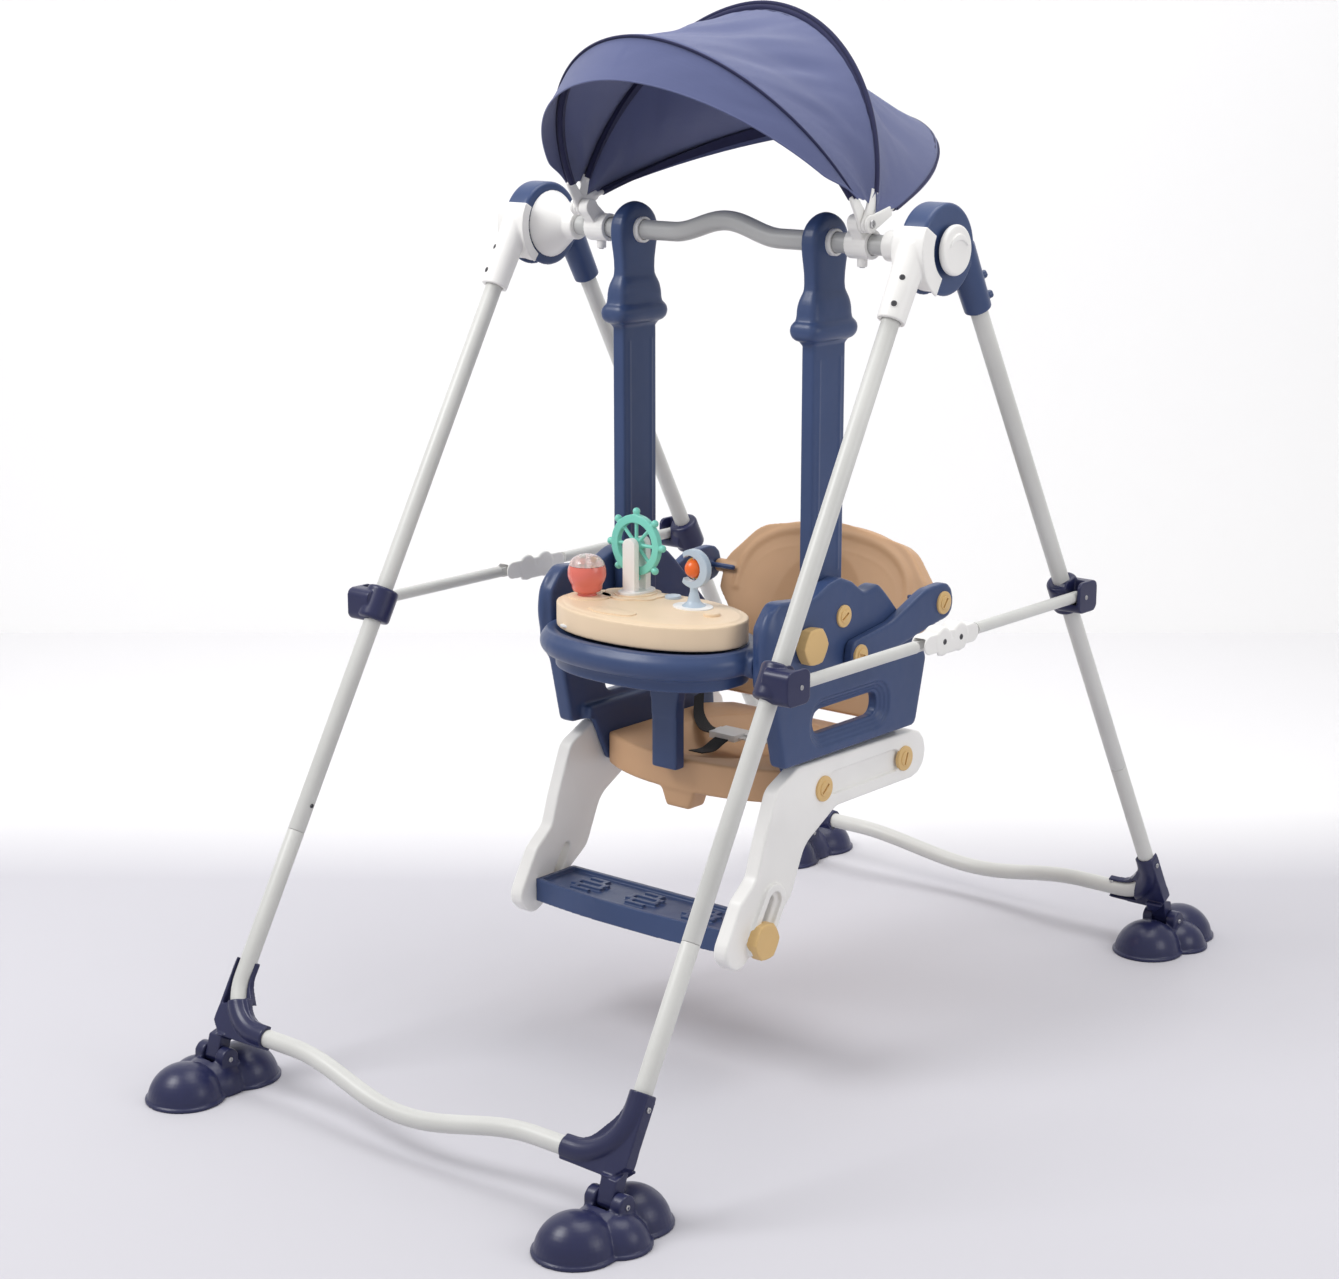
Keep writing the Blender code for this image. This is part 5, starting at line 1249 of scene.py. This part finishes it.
# Each raised seat: name, place, half sizes, wave and lobes of its edge, height and slot
TRAY_SEATS = (
    ("wheel_cloud", WHEEL.x, WHEEL.y - 0.006, 0.038, 0.033, 0.14, 7, 0.0030, "tray_beige"),
    ("wheel_ring", WHEEL.x, WHEEL.y - 0.002, 0.027, 0.029, 0, 0, 0.0042, "tray_beige"),
    ("crescent_ring", BALL.x, BALL.y - 0.002, 0.027, 0.022, 0, 0, 0.0030, "white"),
    ("rattle_ring", DOME.x + 0.004, DOME.y, 0.028, 0.026, 0, 0, 0.0030, "tray_beige"),
    ("front_leaf", -0.020, -0.198, 0.034, 0.014, 0.10, 5, 0.0030, "tray_beige"),
)
for name, x, y, a, b, wave, lobes, height, slot in TRAY_SEATS:
    outline = oval(a, b, y, 2.0, wave, lobes, x)
    pad = plate(outline, TRAY_TOP_Z - 0.003, TRAY_TOP_Z + height, axis="z")
    shown(eased(pad, 0.0010, 3), "tray_" + name, "tray", slot, sharp=40)
vent = box((-0.0905, -0.2165, 0.5500), (-0.0745, -0.2085, 0.5535))
shown(eased(vent, 0.0008, 2), "tray_vent", "tray", "white", sharp=40)


# Toys

def wheel_stand():
    """White fork: two posts on one base, with the axle between them."""
    ends = ((WHEEL.x, WHEEL.y - 0.0114), (WHEEL.x, WHEEL.y + 0.0114))
    base = eased(plate(capsule(*ends, 0.0165), TRAY_TOP_Z + 0.0006, TRAY_TOP_Z + 0.0072, axis="z"), 0.002, 3)
    for x, y in ends:
        post = capsule((x, TRAY_TOP_Z + 0.012), (x, WHEEL.z), 0.0100)
        merged(base, plate(post, y - 0.0048, y + 0.0048, axis="y"))
    merged(base, rod((WHEEL.x, WHEEL.y - 0.012, WHEEL.z), (WHEEL.x, WHEEL.y + 0.012, WHEEL.z), 0.003, 24))
    return skinned(base, 0.0008, 3)


def toy_wheel():
    """Ship's wheel: a ring on eight spokes, each with a grip beyond the ring, and a hub."""
    x, y, z = WHEEL
    made = plate(circle(x, z, 0.0390, 96), y - 0.0044, y + 0.0044, "y", (circle(x, z, 0.0285, 96),))
    for turn in range(8):
        way = Vector((math.cos(math.pi * turn / 4), 0, math.sin(math.pi * turn / 4)))
        spoke = rod(WHEEL, WHEEL + way * 0.032, 0.0024, 20)
        grip = rod(WHEEL + way * 0.036, WHEEL + way * 0.0425, 0.0026, 20)
        merged(made, spoke, grip, ball(WHEEL + way * 0.0430, (0.0049,) * 3, 14, 20))
    merged(made, rod((x, y - 0.0058, z), (x, y + 0.0058, z), 0.009, 40))
    return skinned(made, 0.0008, 3, 0.5)


def crescent_stand():
    """Pale crescent, open to the left, on a flared post."""
    x, y, z = BALL
    outer, inner = arc(0.0245, 130, -130, 40, (x, z)), arc(0.0160, -130, 130, 40, (x - 0.0035, z))
    moon = plate(outer + inner, y - 0.0048, y + 0.0048, axis="y")
    post = turned(((0.0150, 0.0), (0.0155, 0.0025), (0.0120, 0.0045), (0.0085, 0.008), (0.0052, 0.020),
                   (0.0044, 0.032)), (x, y, TRAY_TOP_Z + 0.0006))
    return skinned(merged(moon, post, rod((x, y, z - 0.020), (x, y, z + 0.020), 0.0015, 16)), 0.0008, 3)


dress(wheel_stand(), "wheel_stand", "tray", "white")
dress(toy_wheel(), "toy_wheel", "wheel", "mint")
dress(crescent_stand(), "crescent_stand", "tray", "pale_blue")
dress(ball(BALL, (0.0118,) * 3), "toy_ball", "ball", "orange")
band = plate(circle(BALL.x, BALL.z, 0.0136, 56), BALL.y + 0.0005, BALL.y + 0.0036, "y",
             (circle(BALL.x, BALL.z, 0.0112, 56),))
shown(eased(band, 0.0006, 2), "ball_band", "ball", "sunny", sharp=40)
rattle = turned(((0.0125, 0.0006), (0.0132, 0.002), (0.0118, 0.004), (0.0120, 0.006), (0.0178, 0.009),
                 (0.0192, 0.012), (0.0196, 0.0165), (0.0206, 0.0182), (0.0228, 0.0220), (0.0243, 0.0270),
                 (0.0246, 0.0320), (0.0241, 0.0370), (0.0228, 0.0412), (0.0150, 0.0416)), DOME)
dress(rattle, "toy_dome", "tray", "coral")
cap = turned([(0.0224 * math.cos(math.radians(angle)), 0.0417 + 0.0140 * math.sin(math.radians(angle)))
              for angle in (0, 12, 24, 36, 48, 60, 72, 82, 88)], DOME)
shown(cap, "rattle_cap", "tray", "clear_cap", sharp=40)
BEADS = ((0.006, 0.004, "sunny"), (-0.007, 0.002, "mint"), (0.001, -0.008, "orange"))
for number, (dx, dy, slot) in enumerate(BEADS):
    bead = ball(DOME + Vector((dx, dy, 0.0456)), (0.0036,) * 3, 14, 20)
    shown(bead, "rattle_bead_%d" % number, "tray", slot)
KEYS = ((-0.012, -0.090, "pale_blue"), (0.088, -0.136, "tray_beige"))
for number, (x, y, slot) in enumerate(KEYS):
    key = eased(rod((x, y, TRAY_TOP_Z), (x, y, TRAY_TOP_Z + 0.0052), 0.0105, 40), 0.0015, 3)
    shown(key, "tray_key_%d" % number, "tray", slot, sharp=40)


# Harness

def strap(name, points, slot):
    """A webbing band on the seat through points, each with its sideways direction."""
    line = eased_line(points)
    along = run_lengths([point for point, way in line])
    rows = []
    for point, way in line:
        sideways = way.normalized() * STRAP_WIDTH / 2
        rows.append([point + sideways * (2 * step / 6 - 1) for step in range(7)])
    band = woven_grid(rows, lambda row, step: (along[row], STRAP_WIDTH * step / 6))
    shown(thickened(band, 0.0014), name, "seat", slot, sharp=60)


def eased_line(points, steps=10):
    """A smooth run through a few points, each with its sideways direction."""
    spots = [(Vector(point), Vector(way)) for point, way in points]
    line = []
    for index in range(len(spots) - 1):
        a, b, c = spots[max(0, index - 1)][0], spots[index][0], spots[index + 1][0]
        d = spots[min(len(spots) - 1, index + 2)][0]
        for step in range(steps + (1 if index == len(spots) - 2 else 0)):
            t = step / steps
            point = 0.5 * ((2 * b) + (c - a) * t + (2 * a - 5 * b + 4 * c - d) * t ** 2
                           + (3 * b - a - 3 * c + d) * t ** 3)
            line.append((point, spots[index][1].lerp(spots[index + 1][1], smooth(t))))
    return line


for side_name, side in SIDES:
    strap("lap_strap_" + side_name, (
        ((side * 0.132, 0.110, 0.392), (0, 1, 0.2)), ((side * 0.100, 0.070, 0.3770), (0, 1, 0.1)),
        ((side * 0.055, 0.030, 0.3745), (0.1, 1, 0)), ((side * 0.022, 0.012, 0.3790), (0, 1, 0))),
        "white_webbing" if side > 0 else "black_webbing")
strap("crotch_strap", [((0.0, y, z), (1, 0, 0)) for y, z in (
    (-0.060, 0.3705), (-0.034, 0.3680), (-0.014, 0.3740), (0.004, 0.3790))], "black_webbing")
buckle = joined(box((-0.021, -0.006, 0.3745), (0.021, 0.030, 0.3835)),
                box((-0.027, 0.014, 0.376), (0.027, 0.026, 0.382)))
shown(eased(buckle, 0.0022, 3), "harness_buckle", "seat", "white", sharp=40)


# Floor, backdrop, light and camera

VIEW_TURN = math.radians(39.865)
VIEW_TILT = math.radians(90 - 13.362)
AWAY = Vector((-math.sin(VIEW_TURN), math.cos(VIEW_TURN), 0.0))
ACROSS = Vector((AWAY.y, -AWAY.x, 0.0)) * 7


def stage_finish(name, near, far, edge):
    """Matt paint that turns from one tone to another beyond a line across the floor; on the floor the darker
    near tone is painted shade, light falling off towards the camera.
    """
    finish = Finish(name, {"Roughness": 0.9, "Specular IOR Level": 0.1})
    where = finish.place()
    away = finish.node("ShaderNodeVectorMath", {"operation": "DOT_PRODUCT"}, {0: where, 1: AWAY}, "Value")
    cloud = finish.mottle(where, 1.2, 2.0)
    # Share of the far tone; on the floor the darker near tone left below it is painted shade.
    beyond = (away + 0.1 * (cloud - 0.5)).between(edge - 0.12, edge + 0.25)
    finish.feed(Base_Color=finish.mix(beyond, near, far))
    return finish


def stage_sheet(name, corners, finish):
    work = bmesh.new()
    work.faces.new([work.verts.new(corner) for corner in corners])
    made = from_bmesh(work)
    made.name = name
    made.data.materials.append(finish.material)
    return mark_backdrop(made)


def lamp(name, place, target, size, power):
    data = bpy.data.lights.new(name, "AREA")
    data.shape = "DISK"
    data.size = size
    data.energy = power
    made = bpy.data.objects.new(name, data)
    made.location = place
    made.rotation_euler = (Vector(target) - Vector(place)).to_track_quat("-Z", "Y").to_euler()
    bpy.context.scene.collection.objects.link(made)


near, far, rise = AWAY * -6.0, AWAY * 2.2, Vector((0, 0, 5))
# The floor's near tone is much darker than its far one: painted shade, light falling off towards the camera.
floor_paint_shaded_near = stage_finish("floor_paint_shaded_near", (0.575, 0.568, 0.608, 1.0), (0.820, 0.815, 0.830, 1.0), 0.66)
wall_paint = stage_finish("wall_paint", (0.90, 0.90, 0.91, 1.0), (0.93, 0.93, 0.93, 1.0), 2.0)
stage_sheet("floor", (near - ACROSS, near + ACROSS, far + ACROSS, far - ACROSS), floor_paint_shaded_near)
stage_sheet("backdrop", (far - ACROSS, far + ACROSS, far + ACROSS + rise, far - ACROSS + rise), wall_paint)

lamp("key", (-1.4, -2.0, 3.0), (0, 0, 0.6), 1.6, 62.0)
lamp("top", (0.2, 0.6, 3.4), (0, 0, 0.4), 2.4, 46.0)
lamp("side", (2.6, 0.4, 1.6), (0, 0, 0.6), 1.4, 14.0)

world = bpy.data.worlds.new("studio")
bpy.context.scene.world = world
world.use_nodes = True
sky = world.node_tree.nodes["Background"].inputs
sky["Color"].default_value = (1.0, 0.99, 0.985, 1.0)
sky["Strength"].default_value = 0.62

camera_data = bpy.data.cameras.new("camera")
camera_data.sensor_fit = "HORIZONTAL"
camera_data.sensor_width = 36.0
camera_data.lens = 70.52
camera = bpy.data.objects.new("camera", camera_data)
camera.location = (2.058, -2.576, 1.291)
camera.rotation_euler = (VIEW_TILT, 0.0, VIEW_TURN)
bpy.context.scene.collection.objects.link(camera)
bpy.context.scene.camera = camera
bpy.context.scene.view_settings.view_transform = "Standard"
